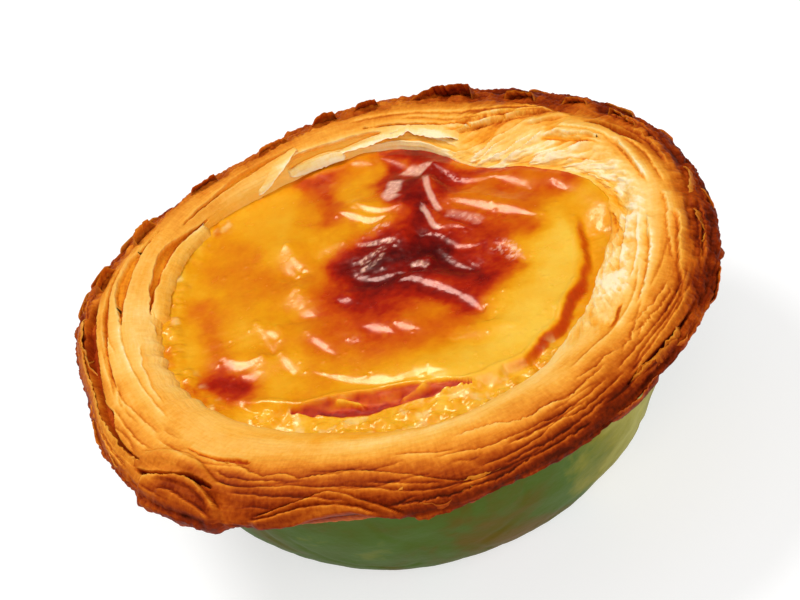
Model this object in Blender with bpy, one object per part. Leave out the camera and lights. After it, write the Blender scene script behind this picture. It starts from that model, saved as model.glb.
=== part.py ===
"""Portuguese custard tart: a baked case of laminated pastry that holds a set, scorched custard.

Metres, +Z up. The origin is the middle of the flat base, and the front of the tart faces -Y.
Angles run anticlockwise round +Z from +X. Both solids are lofts of upright half sections, one for
each angle, because the rim, the mouth and the leaves of pastry all change their shape round the tart.
"""

import math

import bmesh
import bpy

MM = 0.001

# Driving sizes
OUTER_RADIUS = 39.0 * MM
RIM_HEIGHT = 26.4 * MM
LIP_HEIGHT = 22.3 * MM
BASE_RADIUS = 19.5 * MM
FLOOR_THICKNESS = 3.0 * MM
CAVITY_FOOT_RADIUS = 19.0 * MM
MOUTH_RADIUS = 26.3 * MM
MOUTH_CENTRE = (-1.2 * MM, 2.4 * MM)
MOUTH_HEIGHT = 23.9 * MM
CUSTARD_GAP = 0.3 * MM

# Case: the bowl-shaped side and the lip that overhangs it
SIDE_TOP_RADIUS = 33.6 * MM
SIDE_TOP_HEIGHT = 19.0 * MM
SIDE_ROWS = 7
LIP_UNDERSIDE = ((36.2 * MM, 19.6 * MM), (38.3 * MM, 20.7 * MM))

# Case: the rolled rim and its leaves, from the mouth (0) over the crest to the lip (1)
CREST_SHARE = 0.45
LEAF_COUNT = 6
LEAF_STEP = 0.8 * MM
LEAF_WANDER = 0.03
LEAF_RISER = 0.12
LEAST_LEAF_SHARE = 0.02

# Case: the cavity's rows as shares of its depth, and how it narrows to its foot
CAVITY_ROWS = (0.3, 0.6, 0.85)
CAVITY_BOW = 1.8
FOOT_ROUNDING = 2.0 * MM
MOUTH_STEP = 1.2 * MM

# Case: where the rim stands out or in, as (angle in degrees, amount, half width in degrees)
RIM_BULGES = (
    (28, 0.6 * MM, 18),
    (107, -1.5 * MM, 15),
    (150, 1.4 * MM, 17),
    (182, -1.0 * MM, 13),
    (216, 1.0 * MM, 17),
    (250, -0.5 * MM, 15),
)
MOUTH_BULGES = (
    (47, -3.0 * MM, 21),
    (135, 1.0 * MM, 18),
    (-45, 1.2 * MM, 18),
)
FRONT_REACH = ((-85, 2.3 * MM, 28), (-2, 1.2 * MM, 24))
CREST_LIFTS = (
    (95, 0.4 * MM, 30),
    (215, -0.7 * MM, 22),
    (330, -0.4 * MM, 25),
)

# Custard: a low dome whose skin ends in a step above the moat at the front
CUSTARD_DOME = 1.3 * MM
SKIN_CENTRE = (2.0 * MM, 0.0)
SKIN_RADIUS = 21.4 * MM
SKIN_FRONT = -75
SKIN_FRONT_WIDTH = 62
MOAT_DEPTH = 1.7 * MM
MOAT_SLOPE = 0.9 * MM

# Custard: folds of the scorched skin, as (points along the crest in mm, height, half width)
SKIN_FOLDS = (
    (((4, 23), (7, 20), (8, 15), (7, 10)), 1.1 * MM, 2.0 * MM),
    (((9, 18), (13, 14), (18, 11), (22, 10)), 1.2 * MM, 1.9 * MM),
    (((9, 10), (14, 7), (19, 3)), 0.8 * MM, 1.6 * MM),
    (((7, 8), (9, 3), (14, 1)), 0.8 * MM, 1.6 * MM),
    (((-4, 7), (0, 8), (5, 8)), 0.8 * MM, 1.6 * MM),
    (((-4, 3), (0, 1), (5, -3), (9, -8)), 0.9 * MM, 1.7 * MM),
)

CASE_STEPS = 108
CUSTARD_STEPS = 72
CUSTARD_RINGS = 15

PASTRY_COLOUR = (0.72, 0.38, 0.11, 1.0)
CUSTARD_COLOUR = (0.86, 0.42, 0.03, 1.0)


def mix(start, end, share):
    return start + (end - start) * share


def turn_between(angle, centre_degrees):
    """The signed angle from a centre given in degrees, in radians within half a turn."""
    return (angle - math.radians(centre_degrees) + math.pi) % math.tau - math.pi


def bulge(angle, bulges):
    """The sum of the soft bumps round the tart, each (degrees, amount, half width in degrees)."""
    return sum(
        amount * math.exp(-((turn_between(angle, degrees) / math.radians(width)) ** 2))
        for degrees, amount, width in bulges
    )


def ring_radius(angle):
    """The radius of the ring that the rim is set out from: an offset circle with a few soft dents."""
    along = MOUTH_CENTRE[0] * math.cos(angle) + MOUTH_CENTRE[1] * math.sin(angle)
    across = MOUTH_CENTRE[0] * math.sin(angle) - MOUTH_CENTRE[1] * math.cos(angle)
    return along + math.sqrt(MOUTH_RADIUS**2 - across**2) + bulge(angle, MOUTH_BULGES)


def mouth_radius(angle):
    """How far the custard's edge is from the axis: at the front it reaches under the rim's crest."""
    return ring_radius(angle) + bulge(angle, FRONT_REACH)


def rim_arc(angle, share):
    """(radius, height) on the rim's roll, from the mouth (0) over the crest to the lip (1)."""
    mouth = mouth_radius(angle)
    lip = OUTER_RADIUS + bulge(angle, RIM_BULGES)
    crest = mix(ring_radius(angle), lip, CREST_SHARE)
    crest_height = RIM_HEIGHT + bulge(angle, CREST_LIFTS)
    if share < CREST_SHARE:
        turn = (1 - share / CREST_SHARE) * math.pi / 2
        radius = crest - (crest - mouth) * math.sin(turn)
        return radius, crest_height - (crest_height - MOUTH_HEIGHT) * (1 - math.cos(turn))
    turn = (share - CREST_SHARE) / (1 - CREST_SHARE) * math.pi / 2
    radius = crest + (lip - crest) * math.sin(turn)
    return radius, crest_height - (crest_height - LIP_HEIGHT) * (1 - math.cos(turn))


def leaf_points(angle):
    """The rim's stepped points, from the lip in to the mouth: a proud edge and a foot for each leaf."""
    points = []
    for leaf in reversed(range(LEAF_COUNT)):
        wander = LEAF_WANDER * math.sin(2 * angle + 1.9 * leaf) * math.sin(3 * angle - leaf)
        edge = (leaf + 1 - LEAF_RISER) / LEAF_COUNT + wander
        foot = (leaf + LEAF_RISER) / LEAF_COUNT + wander
        for share, step in ((edge, LEAF_STEP), (foot, 0.0)):
            share = min(max(share, LEAST_LEAF_SHARE), 1 - LEAST_LEAF_SHARE)
            radius, height = rim_arc(angle, share)
            lean = share * math.pi / 2
            points.append((radius + step * math.sin(lean), height + step * math.cos(lean)))
    return points


def cavity_points(angle, inset):
    """The inside of the case from the mouth down to the floor, drawn in by inset."""
    mouth = mouth_radius(angle)
    floor = FLOOR_THICKNESS + inset
    points = [(mouth - inset, MOUTH_HEIGHT - MOUTH_STEP)]
    for depth in CAVITY_ROWS:
        radius = mix(mouth, CAVITY_FOOT_RADIUS, depth**CAVITY_BOW)
        points.append((radius - inset, mix(MOUTH_HEIGHT, floor, depth)))
    points.append((CAVITY_FOOT_RADIUS - FOOT_ROUNDING - inset, floor))
    return points


def case_section(angle):
    """Half of the case's outline at one angle, from the base round the lip to the cavity's floor."""
    points = []
    for row in range(SIDE_ROWS):
        spread = row / (SIDE_ROWS - 1)
        radius = mix(BASE_RADIUS, SIDE_TOP_RADIUS, spread)
        points.append((radius, SIDE_TOP_HEIGHT * spread**2))
    lip_bulge = bulge(angle, RIM_BULGES)
    points += [(radius + lip_bulge, height) for radius, height in LIP_UNDERSIDE]
    points.append(rim_arc(angle, 1.0))
    points += leaf_points(angle)
    points.append(rim_arc(angle, 0.0))
    return points + cavity_points(angle, 0.0)


def distance_to_fold(x, y, crest):
    """The distance from a point to a fold's crest line, which is given in mm."""
    nearest = math.inf
    for (x0, y0), (x1, y1) in zip(crest, crest[1:]):
        dx, dy = (x1 - x0) * MM, (y1 - y0) * MM
        share = ((x - x0 * MM) * dx + (y - y0 * MM) * dy) / (dx * dx + dy * dy)
        share = min(max(share, 0.0), 1.0)
        nearest = min(nearest, math.hypot(x - x0 * MM - share * dx, y - y0 * MM - share * dy))
    return nearest


def custard_height(x, y, share):
    """The custard's upper surface at a point, where share is how far out it is towards the mouth."""
    height = MOUTH_HEIGHT - 0.5 * MM + CUSTARD_DOME * (1 - share**2)
    for crest, rise, half_width in SKIN_FOLDS:
        height += rise * math.exp(-((distance_to_fold(x, y, crest) / half_width) ** 2))
    past_skin = math.hypot(x - SKIN_CENTRE[0], y - SKIN_CENTRE[1]) - SKIN_RADIUS
    front = math.exp(-((turn_between(math.atan2(y, x), SKIN_FRONT) / math.radians(SKIN_FRONT_WIDTH)) ** 4))
    return height - MOAT_DEPTH * front / (1 + math.exp(-4 * past_skin / MOAT_SLOPE))


def custard_section(angle):
    """Half of the custard's outline at one angle, from the axis below to the axis on top."""
    points = list(reversed(cavity_points(angle, CUSTARD_GAP)))
    mouth = mouth_radius(angle) - CUSTARD_GAP
    for ring in range(CUSTARD_RINGS):
        share = 1 - ring / CUSTARD_RINGS
        radius = mouth * share
        x, y = radius * math.cos(angle), radius * math.sin(angle)
        points.append((radius, custard_height(x, y, share)))
    return points


def loft_round(name, section, steps, floor_height, top_height, material):
    """A closed solid through one half section for each angle, shut by a fan at each end of the axis."""
    shape = bmesh.new()
    rings = []
    for step in range(steps):
        angle = math.tau * step / steps
        turn = (math.cos(angle), math.sin(angle))
        rings.append([shape.verts.new((r * turn[0], r * turn[1], z)) for r, z in section(angle)])
    low = shape.verts.new((0.0, 0.0, floor_height))
    high = shape.verts.new((0.0, 0.0, top_height))
    for ring, following in zip(rings, rings[1:] + rings[:1]):
        shape.faces.new((low, following[0], ring[0]))
        for here in range(len(ring) - 1):
            shape.faces.new((ring[here], following[here], following[here + 1], ring[here + 1]))
        shape.faces.new((ring[-1], following[-1], high))
    bmesh.ops.recalc_face_normals(shape, faces=shape.faces)
    mesh = bpy.data.meshes.new(name)
    shape.to_mesh(mesh)
    shape.free()
    mesh.shade_smooth()
    mesh.materials.append(material)
    return bpy.data.objects.new(name, mesh)


def food_material(name, colour, roughness):
    material = bpy.data.materials.new(name)
    material.use_nodes = True
    surface = material.node_tree.nodes["Principled BSDF"]
    surface.inputs["Base Color"].default_value = colour
    surface.inputs["Roughness"].default_value = roughness
    surface.inputs["Metallic"].default_value = 0.0
    return material


def main():
    for leftover in list(bpy.data.objects):
        bpy.data.objects.remove(leftover)
    tart = bpy.data.collections.new("custard_tart")
    bpy.context.scene.collection.children.link(tart)
    case = loft_round(
        "pastry_case",
        case_section,
        CASE_STEPS,
        0.0,
        FLOOR_THICKNESS,
        food_material("pastry", PASTRY_COLOUR, 0.6),
    )
    custard = loft_round(
        "custard",
        custard_section,
        CUSTARD_STEPS,
        FLOOR_THICKNESS + CUSTARD_GAP,
        custard_height(0.0, 0.0, 0.0),
        food_material("custard", CUSTARD_COLOUR, 0.25),
    )
    for solid in (case, custard):
        tart.objects.link(solid)


main()
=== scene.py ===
"""The looks of a portuguese custard tart: flaky layered pastry round a glossy, scorched custard.

Shapes are worked out in millimetres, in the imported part's own frame, and turned into metres when a
mesh is made. A place on the rim is an angle in degrees anticlockwise from +X and a share: 0 is the
mouth where the custard ends, CREST_SHARE the top of the rim, 1 the lip, and UNDER_SHARE the place
under the lip where the cup begins.
"""

import math

import bpy
import numpy as np
from mathutils import Matrix, Vector


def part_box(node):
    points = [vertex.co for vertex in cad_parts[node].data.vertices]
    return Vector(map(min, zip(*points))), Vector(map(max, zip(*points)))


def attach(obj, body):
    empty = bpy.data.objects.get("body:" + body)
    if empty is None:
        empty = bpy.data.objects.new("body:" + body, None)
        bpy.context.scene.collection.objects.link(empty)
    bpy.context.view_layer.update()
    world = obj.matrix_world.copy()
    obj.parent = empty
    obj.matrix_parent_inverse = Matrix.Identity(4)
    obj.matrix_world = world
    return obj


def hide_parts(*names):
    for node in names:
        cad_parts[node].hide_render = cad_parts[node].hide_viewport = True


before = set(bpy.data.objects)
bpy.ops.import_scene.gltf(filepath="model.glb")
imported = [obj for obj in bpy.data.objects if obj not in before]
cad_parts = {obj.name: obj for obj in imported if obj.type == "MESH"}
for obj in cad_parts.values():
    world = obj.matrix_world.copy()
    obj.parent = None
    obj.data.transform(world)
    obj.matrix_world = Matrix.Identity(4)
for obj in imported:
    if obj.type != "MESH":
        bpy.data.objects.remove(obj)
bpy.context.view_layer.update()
case_low, case_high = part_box("pastry_case")

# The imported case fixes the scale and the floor: it is CASE_WIDTH wide before any scaling.
CASE_WIDTH = 78.95
UNIT = (case_high.x - case_low.x) / CASE_WIDTH
FLOOR_Z = case_low.z

# Driving sizes of the case, in millimetres
LIP_RADIUS = 39.0
RIM_HEIGHT = 26.4
LIP_HEIGHT = 22.3
BASE_RADIUS = 19.5
SIDE_TOP_RADIUS = 33.6
SIDE_TOP_HEIGHT = 19.0
MOUTH_RADIUS = 26.3
MOUTH_CENTRE = (-1.2, 2.4)
MOUTH_HEIGHT = 23.9
CREST_SHARE = 0.45
UNDER_SHARE = 1.3
UNDER_STEPS = (1.0, 1.12, 1.22, UNDER_SHARE)

# Soft bumps round the rim: (angle, amount in mm, half width in degrees)
LIP_BULGES = (
    (28, 0.6, 18),
    (107, -1.5, 15),
    (150, 1.4, 17),
    (182, -1.0, 13),
    (216, 1.0, 17),
    (250, -0.5, 15),
)
MOUTH_BULGES = ((47, -3.0, 21), (135, 1.0, 18), (-45, 1.2, 18))
MOUTH_REACH = ((-82, 3.3, 27), (-61, 0.9, 8), (4, 2.0, 22), (56, -1.5, 14))
MOUTH_FROTH = ((185, 0.35, 32),)
CREST_LIFTS = ((95, 0.4, 30), (215, -0.7, 22), (330, -0.4, 25))
BACK_SINK = ((128, 0.8, 32), (74, 0.45, 24))


# ---------------------------------------------------------------- numbers, noise and curves


def smooth(low, high, value):
    """0 below low, 1 above high and a soft turn between them; low may be the larger."""
    share = np.clip((np.asarray(value, float) - low) / (high - low), 0.0, 1.0)
    return share * share * (3 - 2 * share)


def mix(start, end, share):
    return start + (end - start) * share


def through(x, places, values):
    """A smooth curve through values at rising places, level beyond both ends."""
    places, values = np.asarray(places, float), np.asarray(values, float)
    if len(places) == 1:
        return np.full_like(np.asarray(x, float), values[0])
    slopes = np.gradient(values, places)
    left = np.clip(np.searchsorted(places, x) - 1, 0, len(places) - 2)
    span = places[left + 1] - places[left]
    t = np.clip((x - places[left]) / span, 0.0, 1.0)
    return (
        (2 * t**3 - 3 * t**2 + 1) * values[left]
        + (t**3 - 2 * t**2 + t) * span * slopes[left]
        + (3 * t**2 - 2 * t**3) * values[left + 1]
        + (t**3 - t**2) * span * slopes[left + 1]
    )


def lattice(i, j, k, seed):
    """A fixed random number from -1 to 1 for each point of a lattice."""
    mask = 0xFFFFFFFF
    n = (i * 374761393 + j * 668265263 + k * 2147483647 + seed * 974634777) & mask
    n = ((n ^ (n >> 13)) * 1274126177) & mask
    return ((n ^ (n >> 16)) & mask) / (mask / 2) - 1.0


def noise(x, y, z, seed=0):
    """Smooth noise from -1 to 1 whose bumps are about one unit apart."""
    x, y, z = np.broadcast_arrays(*(np.asarray(c, float) for c in (x, y, z)))
    i, j, k = (np.floor(c).astype(np.int64) for c in (x, y, z))
    u, v, w = (t * t * t * (t * (t * 6 - 15) + 10) for t in (x - i, y - j, z - k))
    total = 0.0
    for di in (0, 1):
        for dj in (0, 1):
            for dk in (0, 1):
                weight = (u if di else 1 - u) * (v if dj else 1 - v) * (w if dk else 1 - w)
                total = total + weight * lattice(i + di, j + dj, k + dk, seed)
    return total


def rough(x, y, z, seed=0, octaves=3):
    """Noise with finer noise on top, about from -1 to 1."""
    total, size = 0.0, 1.0
    for octave in range(octaves):
        step = 2.03**octave
        total = total + size * noise(x * step, y * step, z * step, seed + 17 * octave)
        size *= 0.5
    return total / 1.4


def turn_noise(degrees, per_turn, seed=0, octaves=2, across=0.0):
    """Noise along the rim that joins up after a full turn, with about per_turn bumps in it."""
    angle = np.radians(degrees)
    reach = per_turn / math.tau
    return rough(reach * np.cos(angle), reach * np.sin(angle), across, seed, octaves)


def swept(points, per_span=5):
    """Catmull-Rom points along a smooth curve through 2D points."""
    points = np.asarray(points, float)
    ends = np.vstack([2 * points[0] - points[1], points, 2 * points[-1] - points[-2]])
    run = []
    for a, b, c, d in zip(ends, ends[1:], ends[2:], ends[3:]):
        for t in np.arange(per_span) / per_span:
            run.append(
                0.5 * (2 * b + (c - a) * t + (2 * a - 5 * b + 4 * c - d) * t**2 + (3 * b - a - 3 * c + d) * t**3)
            )
    run.append(points[-1])
    return np.array(run)


def near_curve(x, y, points):
    """For each (x, y): the distance to a smooth curve, positive on its left, and the share along it."""
    run = swept(points)
    best = np.full(np.shape(x), 1e9)
    side = np.ones(np.shape(x))
    along = np.zeros(np.shape(x))
    spans = len(run) - 1
    for step, ((ax, ay), (bx, by)) in enumerate(zip(run, run[1:])):
        dx, dy = bx - ax, by - ay
        t = np.clip(((x - ax) * dx + (y - ay) * dy) / (dx * dx + dy * dy), 0.0, 1.0)
        ex, ey = x - ax - t * dx, y - ay - t * dy
        distance = np.hypot(ex, ey)
        closer = distance < best
        best = np.where(closer, distance, best)
        side = np.where(closer, np.where(dx * ey - dy * ex > 0, 1.0, -1.0), side)
        along = np.where(closer, (step + t) / spans, along)
    return best * side, along


# ---------------------------------------------------------------- the rim's own frame


def bulge(degrees, bulges):
    """The sum of the soft bumps round the tart at these angles."""
    total = 0.0
    for centre, amount, width in bulges:
        away = (np.asarray(degrees, float) - centre + 180.0) % 360.0 - 180.0
        total = total + amount * np.exp(-((away / width) ** 2))
    return total


def ring_radius(degrees):
    """The ring that the rim is set out from: an offset circle with soft dents."""
    angle = np.radians(degrees)
    along = MOUTH_CENTRE[0] * np.cos(angle) + MOUTH_CENTRE[1] * np.sin(angle)
    across = MOUTH_CENTRE[0] * np.sin(angle) - MOUTH_CENTRE[1] * np.cos(angle)
    return along + np.sqrt(MOUTH_RADIUS**2 - across**2) + bulge(degrees, MOUTH_BULGES)


def mouth_radius(degrees):
    """How far the custard's edge is from the axis."""
    uneven = 0.22 * turn_noise(degrees, 26, 71, 3)
    uneven = uneven + (0.12 + bulge(degrees, MOUTH_FROTH)) * turn_noise(degrees, 130, 73, 2)
    return ring_radius(degrees) + bulge(degrees, MOUTH_REACH) + uneven


def rim_section(degrees, share):
    """(radius, height) on the rim's envelope, from inside the mouth to the cup under the lip."""
    degrees, share = np.broadcast_arrays(np.asarray(degrees, float), np.asarray(share, float))
    mouth = mouth_radius(degrees)
    lip = LIP_RADIUS + bulge(degrees, LIP_BULGES)
    crest = mix(ring_radius(degrees), lip, CREST_SHARE)
    top = RIM_HEIGHT + bulge(degrees, CREST_LIFTS)
    inner = (1 - np.clip(share, 0, CREST_SHARE) / CREST_SHARE) * np.pi / 2
    outer = (np.clip(share, CREST_SHARE, 1) - CREST_SHARE) / (1 - CREST_SHARE) * np.pi / 2
    before = share < CREST_SHARE
    radius = np.where(before, crest - (crest - mouth) * np.sin(inner), crest + (lip - crest) * np.sin(outer))
    height = np.where(
        before,
        top - (top - MOUTH_HEIGHT) * (1 - np.cos(inner)),
        top - (top - LIP_HEIGHT) * (1 - np.cos(outer)),
    )
    under_radius = np.interp(share, UNDER_STEPS, (0.0, -1.3, -3.2, SIDE_TOP_RADIUS - LIP_RADIUS))
    under_height = np.interp(share, UNDER_STEPS, (0.0, -2.2, -3.0, SIDE_TOP_HEIGHT - LIP_HEIGHT))
    sunk = bulge(degrees, BACK_SINK) * smooth(0.45, 0.65, share) * smooth(1.0, 0.85, share)
    height = height - sunk
    radius = radius + under_radius + np.minimum(share, 0) * 6
    return radius, height + under_height + np.minimum(share, 0) * 22


def rim_place(degrees, share, lift):
    """Points in mm at this lift above the rim's envelope, along its normal."""
    radius, height = rim_section(degrees, share)
    step = 0.02
    radius_on, height_on = rim_section(degrees, np.asarray(share) + step)
    radius_back, height_back = rim_section(degrees, np.asarray(share) - step)
    along_r, along_z = radius_on - radius_back, height_on - height_back
    size = np.hypot(along_r, along_z)
    radius = radius - lift * along_z / size
    height = height + lift * along_r / size
    angle = np.radians(degrees)
    return np.stack(np.broadcast_arrays(radius * np.cos(angle), radius * np.sin(angle), height), -1)


# ---------------------------------------------------------------- meshes


def grid_faces(rows, columns, start=0, wrap=False, flip=False):
    """The quads of a grid whose points are numbered row by row from start."""
    row = np.arange(rows - 1)[:, None] * columns
    column = np.arange(columns if wrap else columns - 1)[None, :]
    following = (column + 1) % columns
    quads = np.stack([row + column, row + following, row + columns + following, row + columns + column], -1)
    quads = quads.reshape(-1, 4) + start
    return quads[:, ::-1] if flip else quads


def make_piece(name, points, quads, triangles, facts, material, sharp=None):
    """A mesh object from points in mm, with one float per point for each named fact."""
    mesh = bpy.data.meshes.new(name)
    mesh.vertices.add(len(points))
    world = np.asarray(points, float) * UNIT + np.array([0.0, 0.0, FLOOR_Z])
    mesh.vertices.foreach_set("co", world.ravel())
    triangles = np.asarray(triangles, np.int64).reshape(-1, 3)
    corners = np.concatenate([np.asarray(quads, np.int64).ravel(), triangles.ravel()])
    mesh.loops.add(len(corners))
    mesh.loops.foreach_set("vertex_index", corners.astype(np.int32))
    starts = np.concatenate([np.arange(len(quads)) * 4, 4 * len(quads) + np.arange(len(triangles)) * 3])
    mesh.polygons.add(len(starts))
    mesh.polygons.foreach_set("loop_start", starts.astype(np.int32))
    for fact, values in facts.items():
        attribute = mesh.attributes.new(fact, "FLOAT", "POINT")
        attribute.data.foreach_set("value", np.ascontiguousarray(values, np.float32).ravel())
    mesh.update(calc_edges=True)
    mesh.validate()
    mesh.shade_smooth()
    if sharp:
        mesh.set_sharp_from_angle(angle=math.radians(sharp))
    mesh.materials.append(material)
    piece = bpy.data.objects.new(name, mesh)
    bpy.context.scene.collection.objects.link(piece)
    return piece


class Shell:
    """Closed solids gathered into one mesh: points, faces, and the facts that the materials read."""

    def __init__(self, names):
        self.points, self.quads, self.triangles = [], [], []
        self.facts = {name: [] for name in names}
        self.count = 0

    def add(self, points, quads, triangles, facts):
        self.points.append(points)
        self.quads.append(np.asarray(quads, np.int64).reshape(-1, 4) + self.count)
        self.triangles.append(np.asarray(triangles, np.int64).reshape(-1, 3) + self.count)
        for name in self.facts:
            self.facts[name].append(np.broadcast_to(facts[name], len(points)))
        self.count += len(points)

    def piece(self, name, material, sharp=None):
        facts = {fact: np.concatenate(parts) for fact, parts in self.facts.items()}
        return make_piece(
            name,
            np.concatenate(self.points),
            np.concatenate(self.quads),
            np.concatenate(self.triangles),
            facts,
            material,
            sharp,
        )


# ---------------------------------------------------------------- materials


def shader(name):
    """A new material, and two helpers: one adds a node, the other links two sockets."""
    material = bpy.data.materials.new(name)
    material.use_nodes = True
    nodes, links = material.node_tree.nodes, material.node_tree.links

    def node(kind, values=None, **settings):
        made = nodes.new(kind)
        for setting, value in settings.items():
            setattr(made, setting, value)
        for socket, value in (values or {}).items():
            if isinstance(value, bpy.types.NodeSocket):
                links.new(value, made.inputs[socket])
            else:
                made.inputs[socket].default_value = value
        return made

    return material, nodes["Principled BSDF"], node, links.new


def fact(node, name):
    return node("ShaderNodeAttribute", attribute_name=name).outputs["Fac"]


def maths(node, operation, a, b=0.0, c=0.0, clamp=False):
    return node("ShaderNodeMath", {0: a, 1: b, 2: c}, operation=operation, use_clamp=clamp).outputs[0]


def ramp(node, level, stops):
    made = node("ShaderNodeValToRGB", {"Fac": level})
    elements = made.color_ramp.elements
    while len(elements) < len(stops):
        elements.new(0.5)
    for element, (place, colour) in zip(elements, stops):
        element.position = place
        element.color = (*colour, 1.0)
    return made.outputs["Color"]


def blend_colours(node, share, first, second, kind="MIX"):
    made = node("ShaderNodeMix", data_type="RGBA", blend_type=kind)
    for socket, value in ((0, share), (6, first), (7, second)):
        if isinstance(value, bpy.types.NodeSocket):
            made.id_data.links.new(value, made.inputs[socket])
        else:
            made.inputs[socket].default_value = value
    return made.outputs[2]


PASTRY_STOPS = (
    (0.00, (0.98, 0.81, 0.50)),
    (0.12, (0.96, 0.64, 0.22)),
    (0.25, (0.93, 0.50, 0.105)),
    (0.38, (0.87, 0.365, 0.042)),
    (0.50, (0.74, 0.235, 0.018)),
    (0.62, (0.54, 0.120, 0.007)),
    (0.74, (0.37, 0.055, 0.003)),
    (0.86, (0.20, 0.017, 0.001)),
    (1.00, (0.07, 0.006, 0.001)),
)

# Deep orange that glow mixes in: painted glow of light through thin pastry in shaded gaps, walls and hollows, and the
# colour where syrup has soaked in.
GAP_STOPS = (
    (0.00, (0.98, 0.56, 0.08)),
    (0.45, (0.90, 0.34, 0.010)),
    (0.60, (0.62, 0.12, 0.003)),
    (0.75, (0.38, 0.03, 0.002)),
    (1.00, (0.12, 0.006, 0.002)),
)


def pastry_material():
    """Baked puff pastry: its colour follows how far each place is baked, with painted shade and highlights added to
    that level, in fine layered streaks, and turns deep orange under painted glow and syrup stains.
    """
    material, surface, node, link = shader("baked_pastry")
    bake, glow = fact(node, "bake"), fact(node, "glow")
    around, across = fact(node, "around"), fact(node, "across")
    lanes = node("ShaderNodeCombineXYZ", {"X": around, "Y": across}).outputs[0]
    stretched = node("ShaderNodeMapping", {"Vector": lanes, "Scale": (0.22, 2.6, 1.0)}).outputs[0]
    streaks = node("ShaderNodeTexNoise", {"Vector": stretched, "Scale": 1.0, "Detail": 4.0}).outputs["Fac"]
    crossed = node("ShaderNodeMapping", {"Vector": lanes, "Scale": (3.4, 0.55, 1.0)}).outputs[0]
    fibres = node("ShaderNodeTexNoise", {"Vector": crossed, "Scale": 1.0, "Detail": 3.0}).outputs["Fac"]
    place = node("ShaderNodeTexCoord").outputs["Object"]
    blotches = node("ShaderNodeTexNoise", {"Vector": place, "Scale": 210.0, "Detail": 5.0}).outputs["Fac"]
    grain = node("ShaderNodeTexNoise", {"Vector": place, "Scale": 1900.0, "Detail": 3.0}).outputs["Fac"]
    level = bake
    specks = maths(node, "MULTIPLY_ADD", bake, 0.20, 0.08)
    level = maths(node, "MULTIPLY_ADD", maths(node, "SUBTRACT", grain, 0.5), specks, level)
    for texture, weight in ((streaks, 0.15), (fibres, 0.09), (blotches, 0.30)):
        level = maths(node, "MULTIPLY_ADD", maths(node, "SUBTRACT", texture, 0.5), weight, level)
    level = maths(node, "ADD", level, 0.0, clamp=True)
    baked_colour = ramp(node, level, PASTRY_STOPS)
    # deep is the painted glow colour, also used for syrup stains, that glow blends in.
    deep = ramp(node, level, GAP_STOPS)
    colour = blend_colours(node, glow, baked_colour, deep)
    link(colour, surface.inputs["Base Color"])
    surface.inputs["Roughness"].default_value = 0.6
    surface.inputs["Specular IOR Level"].default_value = 0.08
    surface.inputs["Specular Tint"].default_value = (1.0, 0.66, 0.36, 1.0)
    surface.inputs["Subsurface Weight"].default_value = 0.12
    surface.inputs["Subsurface Radius"].default_value = (1.0, 0.35, 0.06)
    surface.inputs["Subsurface Scale"].default_value = 0.0012
    height = maths(node, "MULTIPLY_ADD", grain, 0.7, maths(node, "MULTIPLY_ADD", fibres, 0.25, streaks))
    bump = node("ShaderNodeBump", {"Height": height, "Strength": 0.28, "Distance": 0.0003})
    link(bump.outputs[0], surface.inputs["Normal"])
    return material


# From pale yellow-green through dark green to brown: the greens are a painted cast of green reflected light, the browns
# the colour where the dough met the tin.
CUP_CAST_AND_BROWN_STOPS = (
    (0.00, (0.40, 0.36, 0.08)),
    (0.22, (0.22, 0.20, 0.020)),
    (0.42, (0.062, 0.112, 0.012)),
    (0.56, (0.062, 0.098, 0.007)),
    (0.68, (0.088, 0.070, 0.001)),
    (0.84, (0.125, 0.062, 0.001)),
    (1.00, (0.10, 0.042, 0.001)),
)


def cup_material():
    """The cup's underside: golden-brown patches where it met the tin, on pastry painted with a green cast of reflected
    light, pale yellow-green as painted light at the right and dark green as painted shade at the front.
    """
    material, surface, node, link = shader("cup_pastry")
    bake = fact(node, "bake")
    place = node("ShaderNodeTexCoord").outputs["Object"]
    patches = node("ShaderNodeTexNoise", {"Vector": place, "Scale": 110.0, "Detail": 5.0, "Distortion": 0.5}).outputs["Fac"]
    grain = node("ShaderNodeTexNoise", {"Vector": place, "Scale": 900.0, "Detail": 4.0}).outputs["Fac"]
    level = maths(node, "MULTIPLY_ADD", maths(node, "SUBTRACT", patches, 0.5), 0.95, bake)
    level = maths(node, "MULTIPLY_ADD", maths(node, "SUBTRACT", grain, 0.5), 0.12, level, clamp=True)
    link(ramp(node, level, CUP_CAST_AND_BROWN_STOPS), surface.inputs["Base Color"])
    surface.inputs["Roughness"].default_value = 0.55
    surface.inputs["Specular IOR Level"].default_value = 0.08
    # The sheen is tinted yellow-green to go with the painted green cast.
    surface.inputs["Specular Tint"].default_value = (0.85, 0.90, 0.25, 1.0)
    bump = node("ShaderNodeBump", {"Height": grain, "Strength": 0.25, "Distance": 0.0003})
    link(bump.outputs[0], surface.inputs["Normal"])
    return material


CUSTARD_STOPS = (
    (0.00, (0.90, 0.53, 0.055)),
    (0.14, (0.87, 0.42, 0.018)),
    (0.28, (0.81, 0.31, 0.003)),
    (0.42, (0.70, 0.165, 0.001)),
    (0.56, (0.58, 0.060, 0.001)),
    (0.70, (0.40, 0.012, 0.001)),
    (0.84, (0.20, 0.003, 0.001)),
    (1.00, (0.06, 0.001, 0.001)),
)

# The colour of the shine: warmer over the scorched skin
SHINE_STOPS = (
    (0.00, (1.00, 0.84, 0.55)),
    (0.30, (1.00, 0.80, 0.50)),
    (0.65, (1.00, 0.66, 0.50)),
    (1.00, (0.90, 0.58, 0.50)),
)


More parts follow.
